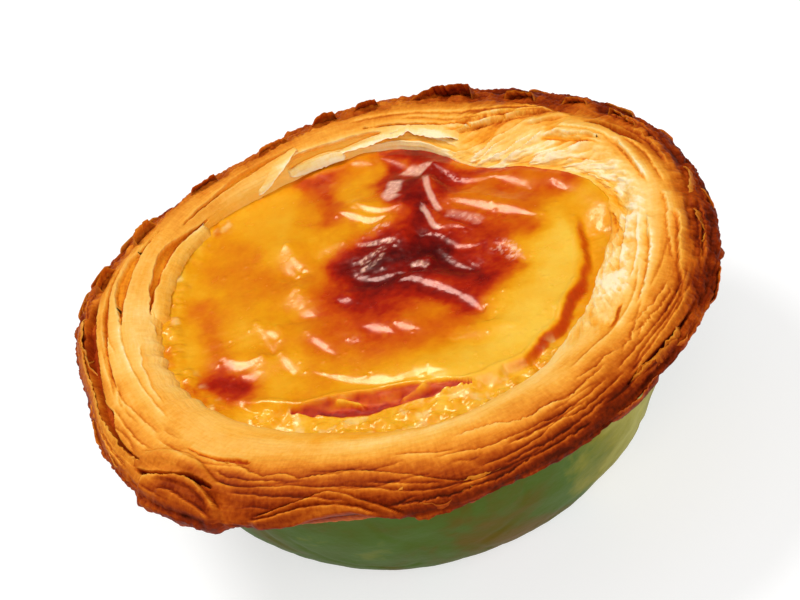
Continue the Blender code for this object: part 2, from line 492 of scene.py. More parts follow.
def custard_material():
    """Set custard under a glossy skin that runs from yellow through caramel to nearly black."""
    material, surface, node, link = shader("scorched_custard")
    burn, pale = fact(node, "burn"), fact(node, "pale")
    place = node("ShaderNodeTexCoord").outputs["Object"]
    blotches = node("ShaderNodeTexNoise", {"Vector": place, "Scale": 330.0, "Detail": 5.0}).outputs["Fac"]
    grain = node("ShaderNodeTexNoise", {"Vector": place, "Scale": 1500.0, "Detail": 3.0}).outputs["Fac"]
    level = maths(node, "MULTIPLY_ADD", maths(node, "SUBTRACT", blotches, 0.5), 0.20, burn)
    level = maths(node, "MULTIPLY_ADD", maths(node, "SUBTRACT", grain, 0.5), 0.09, level, clamp=True)
    colour = ramp(node, level, CUSTARD_STOPS)
    colour = blend_colours(node, pale, colour, (0.95, 0.66, 0.24, 1.0))
    # Painted highlights: pale pink streaks and mottled glints laid into the colour.
    colour = blend_colours(node, fact(node, "painted_highlight"), colour, (1.0, 0.58, 0.42, 1.0))
    link(colour, surface.inputs["Base Color"])
    wet = maths(node, "MULTIPLY_ADD", blotches, 0.16, 0.17)
    wet = maths(node, "MULTIPLY_ADD", fact(node, "matte"), 0.35, wet)
    link(wet, surface.inputs["Roughness"])
    surface.inputs["Specular IOR Level"].default_value = 0.5
    link(ramp(node, level, SHINE_STOPS), surface.inputs["Specular Tint"])
    surface.inputs["Subsurface Weight"].default_value = 0.15
    surface.inputs["Subsurface Radius"].default_value = (1.0, 0.30, 0.03)
    surface.inputs["Subsurface Scale"].default_value = 0.002
    pits = node("ShaderNodeTexNoise", {"Vector": place, "Scale": 1100.0, "Detail": 2.0}).outputs["Fac"]
    pitted = maths(node, "MINIMUM", pits, 0.46)
    bump = node("ShaderNodeBump", {"Height": pitted, "Strength": 0.2, "Distance": 0.0003})
    link(bump.outputs[0], surface.inputs["Normal"])
    return material


def floor_material():
    material, surface, node, link = shader("studio_floor")
    place = node("ShaderNodeTexCoord").outputs["Object"]
    cloud = node("ShaderNodeTexNoise", {"Vector": place, "Scale": 3.0}).outputs["Fac"]
    link(ramp(node, cloud, ((0.0, (0.40, 0.40, 0.40)), (1.0, (0.44, 0.44, 0.44)))), surface.inputs["Base Color"])
    surface.inputs["Roughness"].default_value = 0.9
    surface.inputs["Specular IOR Level"].default_value = 0.1
    surface.inputs["Emission Color"].default_value = (1.0, 1.0, 1.0, 1.0)
    surface.inputs["Emission Strength"].default_value = 0.66
    return material


# ---------------------------------------------------------------- how far the pastry is baked

# Baking levels from 0, cream, to 1, nearly black: a row for every BAKE_TURN degrees, a column a share
BAKE_TURN = 30.0
BAKE_SHARES = (-0.1, 0.0, 0.1, 0.2, 0.3, 0.4, 0.5, 0.6, 0.7, 0.8, 0.9, 1.1, 1.3)
BAKE_LEVELS = np.array(
    (
        (0.30, 0.28, 0.18, 0.08, 0.02, 0.12, 0.28, 0.50, 0.64, 0.76, 0.84, 0.86, 0.70),
        (0.12, 0.08, 0.02, 0.02, 0.10, 0.18, 0.29, 0.54, 0.74, 0.82, 0.86, 0.86, 0.70),
        (0.08, 0.02, 0.06, 0.12, 0.26, 0.44, 0.62, 0.70, 0.78, 0.80, 0.80, 0.80, 0.60),
        (0.10, 0.06, 0.12, 0.24, 0.40, 0.51, 0.64, 0.66, 0.72, 0.76, 0.78, 0.78, 0.60),
        (0.18, 0.18, 0.22, 0.32, 0.42, 0.53, 0.66, 0.70, 0.74, 0.76, 0.78, 0.76, 0.60),
        (0.34, 0.34, 0.36, 0.34, 0.34, 0.36, 0.40, 0.50, 0.68, 0.77, 0.80, 0.78, 0.60),
        (0.25, 0.22, 0.22, 0.20, 0.20, 0.22, 0.24, 0.28, 0.62, 0.76, 0.80, 0.78, 0.60),
        (0.20, 0.20, 0.20, 0.25, 0.30, 0.30, 0.38, 0.52, 0.62, 0.62, 0.70, 0.74, 0.60),
        (0.25, 0.25, 0.26, 0.26, 0.24, 0.26, 0.47, 0.70, 0.76, 0.78, 0.80, 0.78, 0.60),
        (0.24, 0.24, 0.26, 0.24, 0.22, 0.24, 0.41, 0.61, 0.67, 0.72, 0.82, 0.84, 0.55),
        (0.20, 0.15, 0.12, 0.12, 0.18, 0.30, 0.41, 0.49, 0.67, 0.87, 0.98, 0.94, 0.70),
        (0.20, 0.15, 0.12, 0.06, 0.06, 0.16, 0.28, 0.45, 0.62, 0.70, 0.80, 0.86, 0.70),
    )
)


def baked(degrees, share):
    """The general baking level of the rim, before any leaf or gap changes it."""
    degrees, share = np.broadcast_arrays(np.asarray(degrees, float), np.asarray(share, float))
    turn = (degrees % 360.0) / BAKE_TURN
    row = np.floor(turn).astype(int)
    following = (row + 1) % len(BAKE_LEVELS)
    row = row % len(BAKE_LEVELS)
    place = np.interp(share, BAKE_SHARES, np.arange(len(BAKE_SHARES)))
    column = np.minimum(np.floor(place).astype(int), len(BAKE_SHARES) - 2)
    past = place - column
    here = mix(BAKE_LEVELS[row, column], BAKE_LEVELS[row, column + 1], past)
    there = mix(BAKE_LEVELS[following, column], BAKE_LEVELS[following, column + 1], past)
    return mix(here, there, smooth(0, 1, turn - np.floor(turn)))


# ---------------------------------------------------------------- ledges and gaps of the rim

SHARE_SPAN = 17.0


class Field:
    """Lift above the envelope and baking level, with painted shade and highlights added to it, over a grid: one row a
    share, one column an angle.
    """

    def __init__(self, degrees, share):
        self.degrees, self.share = degrees, share
        self.lift = np.zeros((len(share), len(degrees)))
        self.bake = baked(degrees[None, :], share[:, None])
        # glow turns the colour to deep orange: painted glow in shaded gaps, walls and hollows, and the real colour of
        # syrup stains.
        self.glow = np.zeros_like(self.lift)

    def window(self, first, last):
        """The columns between two angles, and those angles, counted on from the first."""
        turned = first + (self.degrees - first) % 360.0
        columns = np.flatnonzero(turned <= last)
        return columns, turned[columns]


def torn(degrees, amount, seed):
    """How far a torn edge strays from its smooth line, in shares."""
    coarse = turn_noise(degrees, 46, 100 + seed, 1)
    fine = turn_noise(degrees, 200, 140 + seed, 2) + 0.8 * turn_noise(degrees, 620, 170 + seed, 1)
    return amount * (0.9 * coarse + fine) / SHARE_SPAN


def faded(degrees, ends):
    """0 at both ends of a run of angles, rising to 1 over so many degrees."""
    return smooth(0, ends, degrees - degrees[0]) * smooth(0, ends, degrees[-1] - degrees)


def ledge(field, edge, step=0.35, reach=1.5, notch=0.12, facing=1, ends=3.0, tone=0.12, ragged=0.12, seed=0,
          bright=0.22):
    """The edge of a leaf along (angle, share) points: a riser step mm high, a notch before it and its face after.

    The face runs outwards from the edge, or towards the mouth if facing is -1, and fades over reach mm.
    """
    places = [place for place, _ in edge]
    columns, degrees = field.window(places[0], places[-1])
    path = through(degrees, places, [share for _, share in edge]) + torn(degrees, ragged, seed)
    size = faded(degrees, ends)
    past = (field.share[:, None] - path) * SHARE_SPAN * facing
    face = smooth(-0.08, 0.10, past) * np.exp(-np.maximum(past, 0) / reach)
    gully = np.exp(-(((past + 0.12) / 0.12) ** 2))
    before = smooth(-1.5, 0.0, past) * smooth(0.05, -0.02, past)
    frayed = 1 + 0.35 * turn_noise(degrees, 700, 180 + seed, 1)
    lit = smooth(-0.06, 0.06, past) * np.exp(-np.maximum(past - 0.05, 0) / 0.30) * frayed
    foot = smooth(0.25, 1.4, past) * face
    field.lift[:, columns] += size * (step * face - notch * gully)
    # Colour: darker in the notch and just before the edge, painted shade; lighter along the edge itself, a painted
    # highlight; the face darker away from the edge, partly browning and partly painted shade.
    field.bake[:, columns] += size * (0.10 * gully + 0.06 * before - bright * lit + tone * foot)


def gap(field, inner, outer, depth=0.6, level=0.55, ends=1.5, ragged=0.10, seed=0, glow=0.7, lip=0.12):
    """A gap between two leaves: its floor lies depth mm down between two lines of (angle, share) points."""
    first = max(inner[0][0], outer[0][0])
    last = min(inner[-1][0], outer[-1][0])
    columns, degrees = field.window(first, last)
    near = through(degrees, [place for place, _ in inner], [share for _, share in inner]) + torn(degrees, ragged * 0.5, seed)
    far = through(degrees, [place for place, _ in outer], [share for _, share in outer]) + torn(degrees, ragged, seed + 7)
    share = field.share[:, None]
    into, out = (share - near) * SHARE_SPAN, (far - share) * SHARE_SPAN
    inside = smooth(-0.08, 0.09, into) * smooth(-0.08, 0.09, out) * faded(degrees, ends)
    width = np.maximum(far - near, 0.0) * SHARE_SPAN
    present = smooth(0.02, 0.25, width) * faded(degrees, ends)
    strands = 0.10 * turn_noise(degrees[None, :], 30, 500 + seed, 2, share * 40)
    # The floor's colour: its level, darker still along the inner line as painted shade under the leaf's edge, and
    # turned deep orange by glow as painted glow in the shaded gap.
    shade = 0.18 * np.exp(-((np.maximum(into, 0) / 0.25) ** 2))
    field.lift[:, columns] = mix(field.lift[:, columns], strands - depth, inside)
    field.bake[:, columns] = mix(field.bake[:, columns], level + shade + 0.5 * strands, inside)
    field.glow[:, columns] = mix(field.glow[:, columns], glow, inside)
    # Both rims of the gap are a little raised and lighter: painted highlights on the leaf edges.
    for past in (-into, -out):
        rim = smooth(-0.02, 0.08, past) * np.exp(-np.maximum(past, 0) / 0.3) * present
        field.bake[:, columns] -= lip * rim
        field.lift[:, columns] += 0.10 * rim


# Each gap: its line nearer the mouth, its outer line, its depth in mm and the colour level of its floor, dark with
# painted shade
GAPS = (
    (((127, 0.115), (133, 0.15), (137, 0.165), (142, 0.178), (150, 0.178), (158, 0.19), (164, 0.20)),
     ((127, 0.12), (132, 0.17), (135, 0.20), (138, 0.24), (141, 0.275), (145, 0.28), (148, 0.26), (153, 0.24),
      (158, 0.212), (164, 0.20)), 0.7, 0.50),
    (((100, 0.315), (108, 0.30), (114, 0.283), (120, 0.27), (126, 0.262), (134, 0.28)),
     ((100, 0.315), (108, 0.335), (113, 0.345), (118, 0.33), (122, 0.30), (127, 0.285), (134, 0.28)), 0.5, 0.50),
    (((136, 0.41), (142, 0.415), (148, 0.41), (155, 0.405), (160, 0.41), (168, 0.415)),
     ((136, 0.41), (142, 0.43), (146, 0.47), (150, 0.48), (155, 0.48), (158, 0.467), (162, 0.44), (168, 0.415)), 0.6, 0.52),
    (((147, 0.515), (152, 0.522), (157, 0.518), (162, 0.512), (166, 0.515), (170, 0.52), (174, 0.543), (180, 0.56),
      (187, 0.565)),
     ((147, 0.52), (152, 0.535), (157, 0.53), (162, 0.545), (166, 0.548), (170, 0.548), (174, 0.556), (180, 0.572),
      (187, 0.57)), 0.6, 0.60),
    (((157, 0.605), (163, 0.607), (170, 0.615), (176, 0.63), (180, 0.65), (184, 0.668), (190, 0.67), (192, 0.65),
      (196, 0.69), (202, 0.70), (208, 0.69)),
     ((157, 0.64), (163, 0.70), (170, 0.74), (176, 0.745), (180, 0.74), (184, 0.73), (190, 0.745), (196, 0.738),
      (202, 0.72), (208, 0.69)), 1.1, 0.74),
    (((207, 0.75), (210, 0.72), (213, 0.675), (216, 0.645), (219, 0.63), (222, 0.645), (226, 0.68)),
     ((207, 0.76), (210, 0.75), (213, 0.71), (216, 0.675), (219, 0.655), (222, 0.665), (226, 0.69)), 1.3, 0.84),
    (((213, 0.472), (217, 0.478), (221, 0.475), (226, 0.458), (230, 0.475)),
     ((213, 0.478), (217, 0.492), (221, 0.492), (226, 0.49), (230, 0.49)), 0.5, 0.60),
    (((58, 0.115), (64, 0.10), (70, 0.10), (76, 0.10), (83, 0.085), (90, 0.08)),
     ((58, 0.16), (64, 0.17), (70, 0.165), (74, 0.20), (80, 0.14), (90, 0.09)), 0.35, 0.22),
    (((80, 0.195), (84, 0.17), (88, 0.14), (92, 0.125), (95, 0.145), (100, 0.14), (105, 0.12)),
     ((80, 0.20), (84, 0.21), (88, 0.215), (92, 0.212), (96, 0.218), (101, 0.225), (105, 0.17)), 0.5, 0.26),
    (((55, 0.31), (60, 0.325), (66, 0.29), (72, 0.262), (78, 0.255), (86, 0.27)),
     ((55, 0.31), (60, 0.335), (66, 0.30), (72, 0.275), (78, 0.268), (86, 0.272)), 0.5, 0.60),
    (((14, 0.60), (18, 0.555), (22, 0.535), (26, 0.525), (30, 0.50)),
     ((14, 0.605), (18, 0.60), (22, 0.585), (26, 0.56), (30, 0.53)), 0.7, 0.78),
    (((26, 0.385), (30, 0.35), (34, 0.325), (37, 0.315)),
     ((26, 0.40), (30, 0.375), (34, 0.36), (37, 0.335)), 0.4, 0.42),
    (((314, 0.425), (317, 0.43), (320, 0.405), (323, 0.41)),
     ((314, 0.445), (317, 0.45), (320, 0.43), (323, 0.42)), 0.25, 0.50),
    (((304, 0.775), (308, 0.765), (312, 0.757), (316, 0.765), (320, 0.785), (326, 0.80)),
     ((304, 0.79), (308, 0.785), (312, 0.79), (316, 0.792), (320, 0.80), (326, 0.81)), 0.8, 0.90),
)

# Each ledge: the edge, its step in mm, how far its face reaches in mm, and how ragged it is
LEDGES = (
    (((338, 0.36), (345, 0.34), (352, 0.345), (360, 0.375), (366, 0.345), (372, 0.305), (378, 0.33)), 0.40, 1.4, 0.14),
    (((334, 0.30), (342, 0.27), (350, 0.26), (358, 0.28)), 0.22, 1.2, 0.14),
    (((336, 0.44), (344, 0.425), (352, 0.415), (360, 0.43), (368, 0.405), (375, 0.43)), 0.42, 1.6, 0.12),
    (((300, 0.47), (308, 0.45), (316, 0.465), (326, 0.45), (336, 0.42)), 0.18, 2.0, 0.08),
    (((330, 0.39), (338, 0.395), (347, 0.375), (354, 0.38)), 0.20, 1.2, 0.12),
    (((378, 0.50), (384, 0.475), (390, 0.445), (396, 0.40)), 0.30, 1.3, 0.12),
    (((219, 0.50), (226, 0.503), (230, 0.53), (234, 0.56), (238, 0.548), (241, 0.578), (244, 0.588), (247, 0.573), (251, 0.562)),
     0.35, 1.2, 0.30),
    (((224, 0.64), (232, 0.645), (237, 0.64), (241, 0.637), (245, 0.655), (250, 0.672), (255, 0.70), (259, 0.735),
      (263, 0.77), (267, 0.795), (272, 0.81), (277, 0.82)), 0.42, 1.6, 0.12),
    (((248, 0.562), (253, 0.582), (257, 0.608), (260, 0.635), (263, 0.665), (266, 0.708), (269, 0.755), (271, 0.785),
      (274, 0.80)), 0.65, 2.2, 0.10),
    (((259, 0.51), (263, 0.527), (266, 0.548), (269, 0.572), (273, 0.588)), 0.30, 1.0, 0.10),
    (((272, 0.50), (277, 0.515), (280, 0.53), (283, 0.555), (286, 0.588), (290, 0.61)), 0.45, 1.3, 0.35),
    (((267, 0.59), (270, 0.60), (274, 0.62), (277, 0.638), (281, 0.647), (286, 0.66), (292, 0.682), (297, 0.68), (304, 0.662)),
     0.40, 1.3, 0.22),
    (((273.4, 0.735), (275, 0.74), (280, 0.75), (286, 0.74), (290, 0.712), (294, 0.733), (300, 0.72), (307, 0.70)),
     0.50, 2.0, 0.16),
    (((286, 0.605), (291, 0.592), (294, 0.617), (300, 0.605), (306, 0.60)), 0.38, 1.0, 0.30),
    (((298, 0.55), (304, 0.57), (307, 0.56), (311, 0.585)), 0.35, 1.0, 0.30),
    (((280, 0.685), (286, 0.70), (292, 0.705), (298, 0.70)), 0.25, 0.8, 0.2),
    (((254, 0.66), (260, 0.70), (265, 0.74), (269, 0.775)), 0.25, 0.8, 0.1),
    (((309, 0.61), (312, 0.598), (315, 0.575), (318, 0.556), (321, 0.567), (325, 0.585), (331, 0.60)), 0.45, 0.9, 0.40),
    (((313, 0.622), (317, 0.602), (321, 0.612), (325, 0.632), (330, 0.642)), 0.22, 0.7, 0.50),
    (((305, 0.668), (311, 0.652), (316, 0.648), (322, 0.668), (328, 0.678), (334, 0.668)), 0.34, 0.8, 0.25),
    (((308, 0.715), (313, 0.69), (317, 0.688), (322, 0.695), (331, 0.705)), 0.40, 1.0, 0.15),
    (((306, 0.745), (311, 0.725), (317, 0.715), (323, 0.72), (332, 0.73)), 0.30, 1.0, 0.15),
    (((322, 0.495), (327, 0.487), (332, 0.478), (338, 0.468), (347, 0.458)), 0.22, 1.0, 0.10),
    (((328, 0.66), (333, 0.62), (338, 0.562), (342, 0.533), (347, 0.52), (352, 0.508), (358, 0.49), (364, 0.46)),
     0.50, 1.4, 0.12),
    (((330, 0.65), (335, 0.628), (340, 0.60), (345, 0.588), (350, 0.598), (355, 0.57), (360, 0.535), (366, 0.515)),
     0.38, 1.0, 0.2),
    (((352, 0.475), (358, 0.462), (364, 0.455), (370, 0.46), (376, 0.47)), 0.22, 0.8, 0.1),
    (((361, 0.495), (364, 0.488), (370, 0.483), (376, 0.49), (382, 0.48)), 0.32, 1.0, 0.15),
    (((358, 0.545), (364, 0.53), (370, 0.535), (376, 0.525), (384, 0.50)), 0.30, 0.8, 0.15),
    (((360, 0.575), (366, 0.57), (372, 0.565), (380, 0.535)), 0.25, 0.7, 0.15),
    (((380, 0.445), (386, 0.40), (391, 0.355), (397, 0.315)), 0.30, 1.5, 0.15),
    (((396, 0.53), (402, 0.50), (409, 0.425), (417, 0.37), (426, 0.335), (436, 0.325)), 0.30, 0.9, 0.12),
    (((399, 0.55), (406, 0.49), (414, 0.43), (424, 0.385), (436, 0.36), (448, 0.355)), 0.25, 0.8, 0.12),
    (((402, 0.46), (410, 0.38), (418, 0.31), (425, 0.28)), 0.30, 0.9, 0.15),
    (((84, 0.205), (90, 0.21), (95, 0.215), (101, 0.235), (108, 0.26)), 0.20, 1.4, 0.25),
    (((165, 0.205), (168, 0.155), (172, 0.14)), 0.25, 1.0, 0.10),
    (((166, 0.425), (173, 0.427), (180, 0.42), (188, 0.408), (196, 0.395), (203, 0.40)), 0.18, 0.9, 0.06),
    (((174, 0.30), (182, 0.33), (190, 0.345), (198, 0.35)), 0.12, 0.9, 0.06),
    (((186, 0.568), (190, 0.563), (195, 0.53), (200, 0.512), (206, 0.50)), 0.28, 0.9, 0.15),
    (((190, 0.635), (196, 0.622), (202, 0.615), (208, 0.60)), 0.25, 0.9, 0.15),
    (((186, 0.775), (193, 0.77), (200, 0.765), (208, 0.745)), 0.30, 0.9, 0.25),
    (((166, 0.79), (176, 0.80), (186, 0.81), (196, 0.81), (206, 0.79)), 0.30, 0.9, 0.3),
    (((228, 0.69), (234, 0.70), (240, 0.71), (246, 0.735), (252, 0.78)), 0.28, 1.0, 0.2),
    (((222, 0.56), (228, 0.59), (234, 0.60), (240, 0.605)), 0.25, 0.8, 0.3),
    (((258, 0.83), (265, 0.855), (272, 0.86), (280, 0.85), (288, 0.83), (296, 0.83)), 0.35, 1.2, 0.4),
    (((278, 0.78), (286, 0.79), (294, 0.775), (301, 0.765)), 0.30, 1.0, 0.3),
)

# Where the leaves give way to rough, brown crust, as (angle, share)
CRUST_EDGE = ((0, 0.62), (15, 0.61), (30, 0.53), (60, 0.46), (90, 0.41), (120, 0.40), (150, 0.58), (165, 0.66),
              (185, 0.80), (205, 0.83), (230, 0.90), (260, 0.92), (290, 0.88), (315, 0.79), (330, 0.70), (345, 0.635),
              (360, 0.62))

RIM_COLUMNS = 1200
SEAM_SHARE = CREST_SHARE
INNER_SHARES = np.concatenate([np.linspace(-0.16, -0.03, 4), np.linspace(-0.015, SEAM_SHARE, 62)])
OUTER_SHARES = np.concatenate([np.linspace(SEAM_SHARE, 0.92, 62)[1:], np.linspace(0.935, UNDER_SHARE, 19)])
ROOT_RADIUS = 29.0


def rough_crust(field):
    """Brown crust outside the leaves: short ribs across the rim, lumps and pits, its colour partly its own flecks and
    partly painted light on the rises and painted shade in the pits.
    """
    degrees, share = field.degrees[None, :], field.share[:, None]
    angles = [angle for angle, _ in CRUST_EDGE]
    border = through(degrees % 360.0, angles, [level for _, level in CRUST_EDGE])
    crust = smooth(-0.02, 0.05, share - border - 0.02 * turn_noise(degrees, 60, 23, 2))
    ribs = turn_noise(degrees, 330, 5, 2, share * 3)
    layers = turn_noise(degrees, 40, 9, 2, share * 22)
    lumps = turn_noise(degrees, 110, 11, 2, share * 9)
    calmer = 1 - 0.5 * smooth(0.98, 1.1, share)
    flecks = turn_noise(degrees, 420, 13, 2, share * 26)
    relief = 0.16 * ribs + 0.32 * layers + 0.36 * lumps + 0.18 * flecks
    field.lift += crust * calmer * (relief - 0.15)
    # The colour follows the relief: painted light on the rises and painted shade in the pits, over the crust's own
    # flecks.
    field.bake += crust * (0.05 - 0.30 * np.clip(relief, -0.5, 0.5))


def fine_leaves(field):
    """Small ledges, which show how thinly the pastry is layered."""
    for number in range(34):
        start = 150 + 216 * number / 34 + 5 * lattice(number, 4, 0, 7)
        length = 15 + 7 * lattice(number, 5, 0, 7)
        inner = 0.52 if 205 < start < 330 else 0.44
        level = inner + 0.33 * abs(lattice(number, 6, 0, 7))
        edge = [(start + length * step / 3, level + 0.02 * lattice(number, 8, step, 7)) for step in range(4)]
        ledge(field, edge, step=0.07, reach=0.7, notch=0.02, ends=3.5, tone=0.03, ragged=0.05, seed=300 + number,
              bright=0.10)


# Slanting cream leaves where the pastry puffed open at the back right: the edge and its step in mm
FEATHERS = (
    (((16, 0.36), (19, 0.30), (23, 0.265), (26, 0.225), (28, 0.195)), 0.40),
    (((23, 0.405), (26, 0.36), (30, 0.275), (33, 0.24), (35, 0.175), (37, 0.09)), 0.50),
    (((27, 0.31), (30, 0.25), (32, 0.21), (33, 0.15)), 0.30),
    (((36, 0.46), (37, 0.38), (39, 0.28), (41, 0.20), (43, 0.12), (45, 0.06)), 0.50),
    (((39, 0.35), (42, 0.27), (44, 0.20), (47, 0.13), (48, 0.06)), 0.35),
    (((40, 0.47), (43, 0.41), (46, 0.33), (49, 0.27), (51, 0.19), (54, 0.12)), 0.40),
    (((45, 0.30), (48, 0.22), (50, 0.14), (53, 0.07)), 0.30),
    (((50, 0.30), (53, 0.22), (57, 0.15), (61, 0.09)), 0.35),
    (((8, 0.24), (12, 0.20), (16, 0.17), (20, 0.14)), 0.20),
    (((-12, 0.26), (-6, 0.22), (0, 0.20), (6, 0.16)), 0.20),
)

def feathers(field):
    """The cream leaves of the back right, with slanting fibres and hollows between them: painted shade and glow in the
    hollows, painted highlights on the fibres.
    """
    turned = (field.degrees + 180.0) % 360.0 - 180.0
    around, across = np.radians(turned)[None, :] * 31.0, field.share[:, None] * SHARE_SPAN
    along, over = 0.84 * around - 0.55 * across, 0.55 * around + 0.84 * across
    here = smooth(-62, -35, turned) * smooth(72, 50, turned)
    here = here[None, :] * smooth(-0.02, 0.06, field.share)[:, None] * smooth(0.52, 0.38, field.share)[:, None]
    fibres = rough(along / 2.6, over / 0.42, 0.0, 52)
    hollows = rough(along / 4.2, over / 1.5, 3.0, 53)
    flakes = rough(along / 1.0, over / 0.8, 5.0, 54)
    hollow = smooth(0.05, 0.55, hollows)
    field.lift += here * (0.13 * fibres + 0.10 * flakes - 0.22 * hollow)
    # Hollows darker and turned orange, painted shade and glow; raised fibres and flakes lighter, painted highlights.
    field.bake += here * (0.20 * hollow - 0.12 * fibres - 0.08 * flakes)
    field.glow += 0.45 * here * hollow
    for number, (edge, step) in enumerate(FEATHERS):
        ledge(field, edge, step=step, reach=1.1, notch=0.10, facing=-1, ends=2.5, tone=0.10, ragged=0.12,
              seed=30 + number, bright=0.16)


# Strong leaf edges round the right side: the edge, its step in mm and how bright its painted edge highlight is
RIGHT_LEAVES = (
    (((-4, 0.535), (0, 0.515), (3, 0.505), (6, 0.515), (10, 0.53), (15, 0.535)), 0.60, 0.30),
    (((-6, 0.63), (0, 0.61), (5, 0.60), (10, 0.585), (15, 0.58), (19, 0.56), (22, 0.535), (27, 0.525), (31, 0.495)),
     0.70, 0.26),
    (((2, 0.495), (6, 0.483), (10, 0.48), (14, 0.485), (21, 0.49)), 0.35, 0.20),
    (((-6, 0.46), (0, 0.45), (5, 0.435), (10, 0.43), (16, 0.445)), 0.35, 0.22),
    (((-2, 0.36), (4, 0.315), (10, 0.30), (14, 0.31), (20, 0.35)), 0.35, 0.18),
    (((21, 0.465), (26, 0.43), (30, 0.39), (36, 0.36)), 0.45, 0.22),
    (((34, 0.53), (37, 0.48), (40, 0.42), (44, 0.37)), 0.45, 0.22),
    (((39, 0.52), (43, 0.465), (48, 0.405), (52, 0.36), (57, 0.30), (62, 0.25)), 0.60, 0.24),
    (((46, 0.46), (50, 0.42), (55, 0.37), (61, 0.33)), 0.45, 0.22),
    (((329, 0.69), (333, 0.655), (337, 0.625), (341, 0.61), (346, 0.612), (352, 0.60)), 0.70, 0.34),
    (((331, 0.61), (336, 0.58), (341, 0.55), (346, 0.52), (352, 0.505), (360, 0.50)), 0.55, 0.30),
    (((336, 0.595), (341, 0.575), (347, 0.555), (353, 0.56), (359, 0.54)), 0.45, 0.28),
    (((322, 0.50), (328, 0.485), (336, 0.475), (344, 0.45), (352, 0.44)), 0.35, 0.18),
    (((344, 0.66), (349, 0.645), (354, 0.655), (359, 0.64), (365, 0.65)), 0.55, 0.22),
    (((350, 0.71), (355, 0.695), (361, 0.70), (367, 0.68), (373, 0.67)), 0.55, 0.22),
    (((338, 0.77), (344, 0.76), (350, 0.765), (356, 0.75)), 0.45, 0.20),
    (((6, 0.655), (11, 0.645), (17, 0.64), (23, 0.615)), 0.50, 0.22),
    (((12, 0.72), (18, 0.70), (24, 0.68), (30, 0.64)), 0.45, 0.20),
)


# Where syrup has soaked into the pastry: the angle, half width in degrees and the share that it reaches
SYRUP = ((252, 38, 0.28), (9, 14, 0.18))


def syrup_stains(field):
    share = field.share[:, None]
    uneven = 0.05 * turn_noise(field.degrees, 56, 81, 3)
    blotches = turn_noise(field.degrees[None, :], 120, 83, 2, share * 12)
    for centre, width, reach in SYRUP:
        stain = bulge(field.degrees, ((centre, 1.0, width),)) * smooth(0.06, -0.05, share - reach - uneven)
        field.glow += 0.8 * stain
        field.bake += stain * (0.10 + 0.10 * blotches)


def front_fold(field):
    """The curled fold and the pointed flap under it at the front left."""
    arch = ((204, 0.66), (207, 0.625), (210, 0.565), (213, 0.53), (216, 0.52), (219, 0.54), (222, 0.58), (226, 0.635),
            (231, 0.655))
    columns, degrees = field.window(arch[0][0], arch[-1][0])
    path = through(degrees, [place for place, _ in arch], [share for _, share in arch])
    roll = np.exp(-(((field.share[:, None] - path - 0.045) / 0.055) ** 2)) * faded(degrees, 6)
    field.lift[:, columns] += 0.75 * roll
    # The roll's top is a little lighter: a painted highlight.
    field.bake[:, columns] -= 0.05 * roll
    ledge(field, arch, step=0.15, reach=1.2, notch=0.08, ends=5, tone=0.18, ragged=0.03, seed=71, bright=0.10)
    flap = ((209.5, 0.80), (211.5, 0.735), (214, 0.69), (216, 0.664), (218.5, 0.650), (221, 0.663), (224, 0.705),
            (226.5, 0.76), (228.5, 0.83))
    ledge(field, flap, step=1.05, reach=7.0, notch=0.25, ends=1.2, tone=0.10, ragged=0.04, seed=72, bright=0.30)
    # A band that steps down under the flap, darker along its edge: painted shade.
    band = ((212.5, 0.745), (215, 0.715), (218.5, 0.70), (221, 0.712), (224, 0.75), (226.5, 0.81))
    ledge(field, band, step=-0.22, reach=0.9, notch=0.0, ends=1.5, tone=0.10, ragged=0.04, seed=73, bright=-0.10)
    crease = ((214, 0.80), (216.5, 0.765), (219.5, 0.775), (222, 0.795), (225, 0.835), (227.5, 0.89))
    ledge(field, crease, step=0.35, reach=2.5, notch=0.12, ends=1.5, tone=0.06, ragged=0.06, seed=74, bright=0.22)
    tongue = ((234, 0.85), (237, 0.815), (239, 0.785), (241, 0.76), (244, 0.73), (247, 0.702), (250, 0.712),
              (253, 0.755), (256, 0.80), (259, 0.87), (261, 0.93))
    ledge(field, tongue, step=0.70, reach=3.0, notch=0.15, ends=2.0, tone=0.06, ragged=0.08, seed=75, bright=0.24)
    lap = ((233, 0.88), (237, 0.85), (240, 0.82), (243, 0.792), (246, 0.782), (250, 0.792), (254, 0.835), (257, 0.89))
    ledge(field, lap, step=0.55, reach=3.0, notch=0.15, ends=2.0, tone=0.04, ragged=0.08, seed=76, bright=0.24)


# How far down the rim reaches before the cup shows under it, as (angle, share)
LIP_LIMITS = ((0, 0.98), (200, 0.98), (209, 1.0), (214, 1.05), (226, 1.05), (234, 0.97), (240, 0.93), (246, 0.86),
              (252, 0.845), (256, 0.89), (261, 0.97), (268, 0.985), (275, 0.96), (285, 0.955), (293, 0.95), (300, 0.925),
              (310, 0.92), (320, 0.95), (335, 0.98), (360, 0.98))


def ragged_lip(field):
    """Draws the rim's underside in wherever the lip ends early."""
    degrees, share = field.degrees[None, :], field.share[:, None]
    limit = through(degrees, [angle for angle, _ in LIP_LIMITS], [level for _, level in LIP_LIMITS])
    limit = limit + 0.018 * turn_noise(degrees, 60, 61, 2) + 0.008 * turn_noise(degrees, 300, 62, 1)
    past = share - limit
    drawn = smooth(0.0, 0.05, past) * smooth(1.30, 1.18, share)
    field.lift -= drawn * (0.9 + 9.0 * np.clip(1.03 - limit, 0.0, 0.2))
    # Darker where the underside is drawn in, painted shade under the lip, with a thin lighter line along the lip's
    # edge, a painted highlight.
    field.bake += 0.10 * drawn - 0.08 * np.exp(-(((past + 0.02) / 0.02) ** 2))


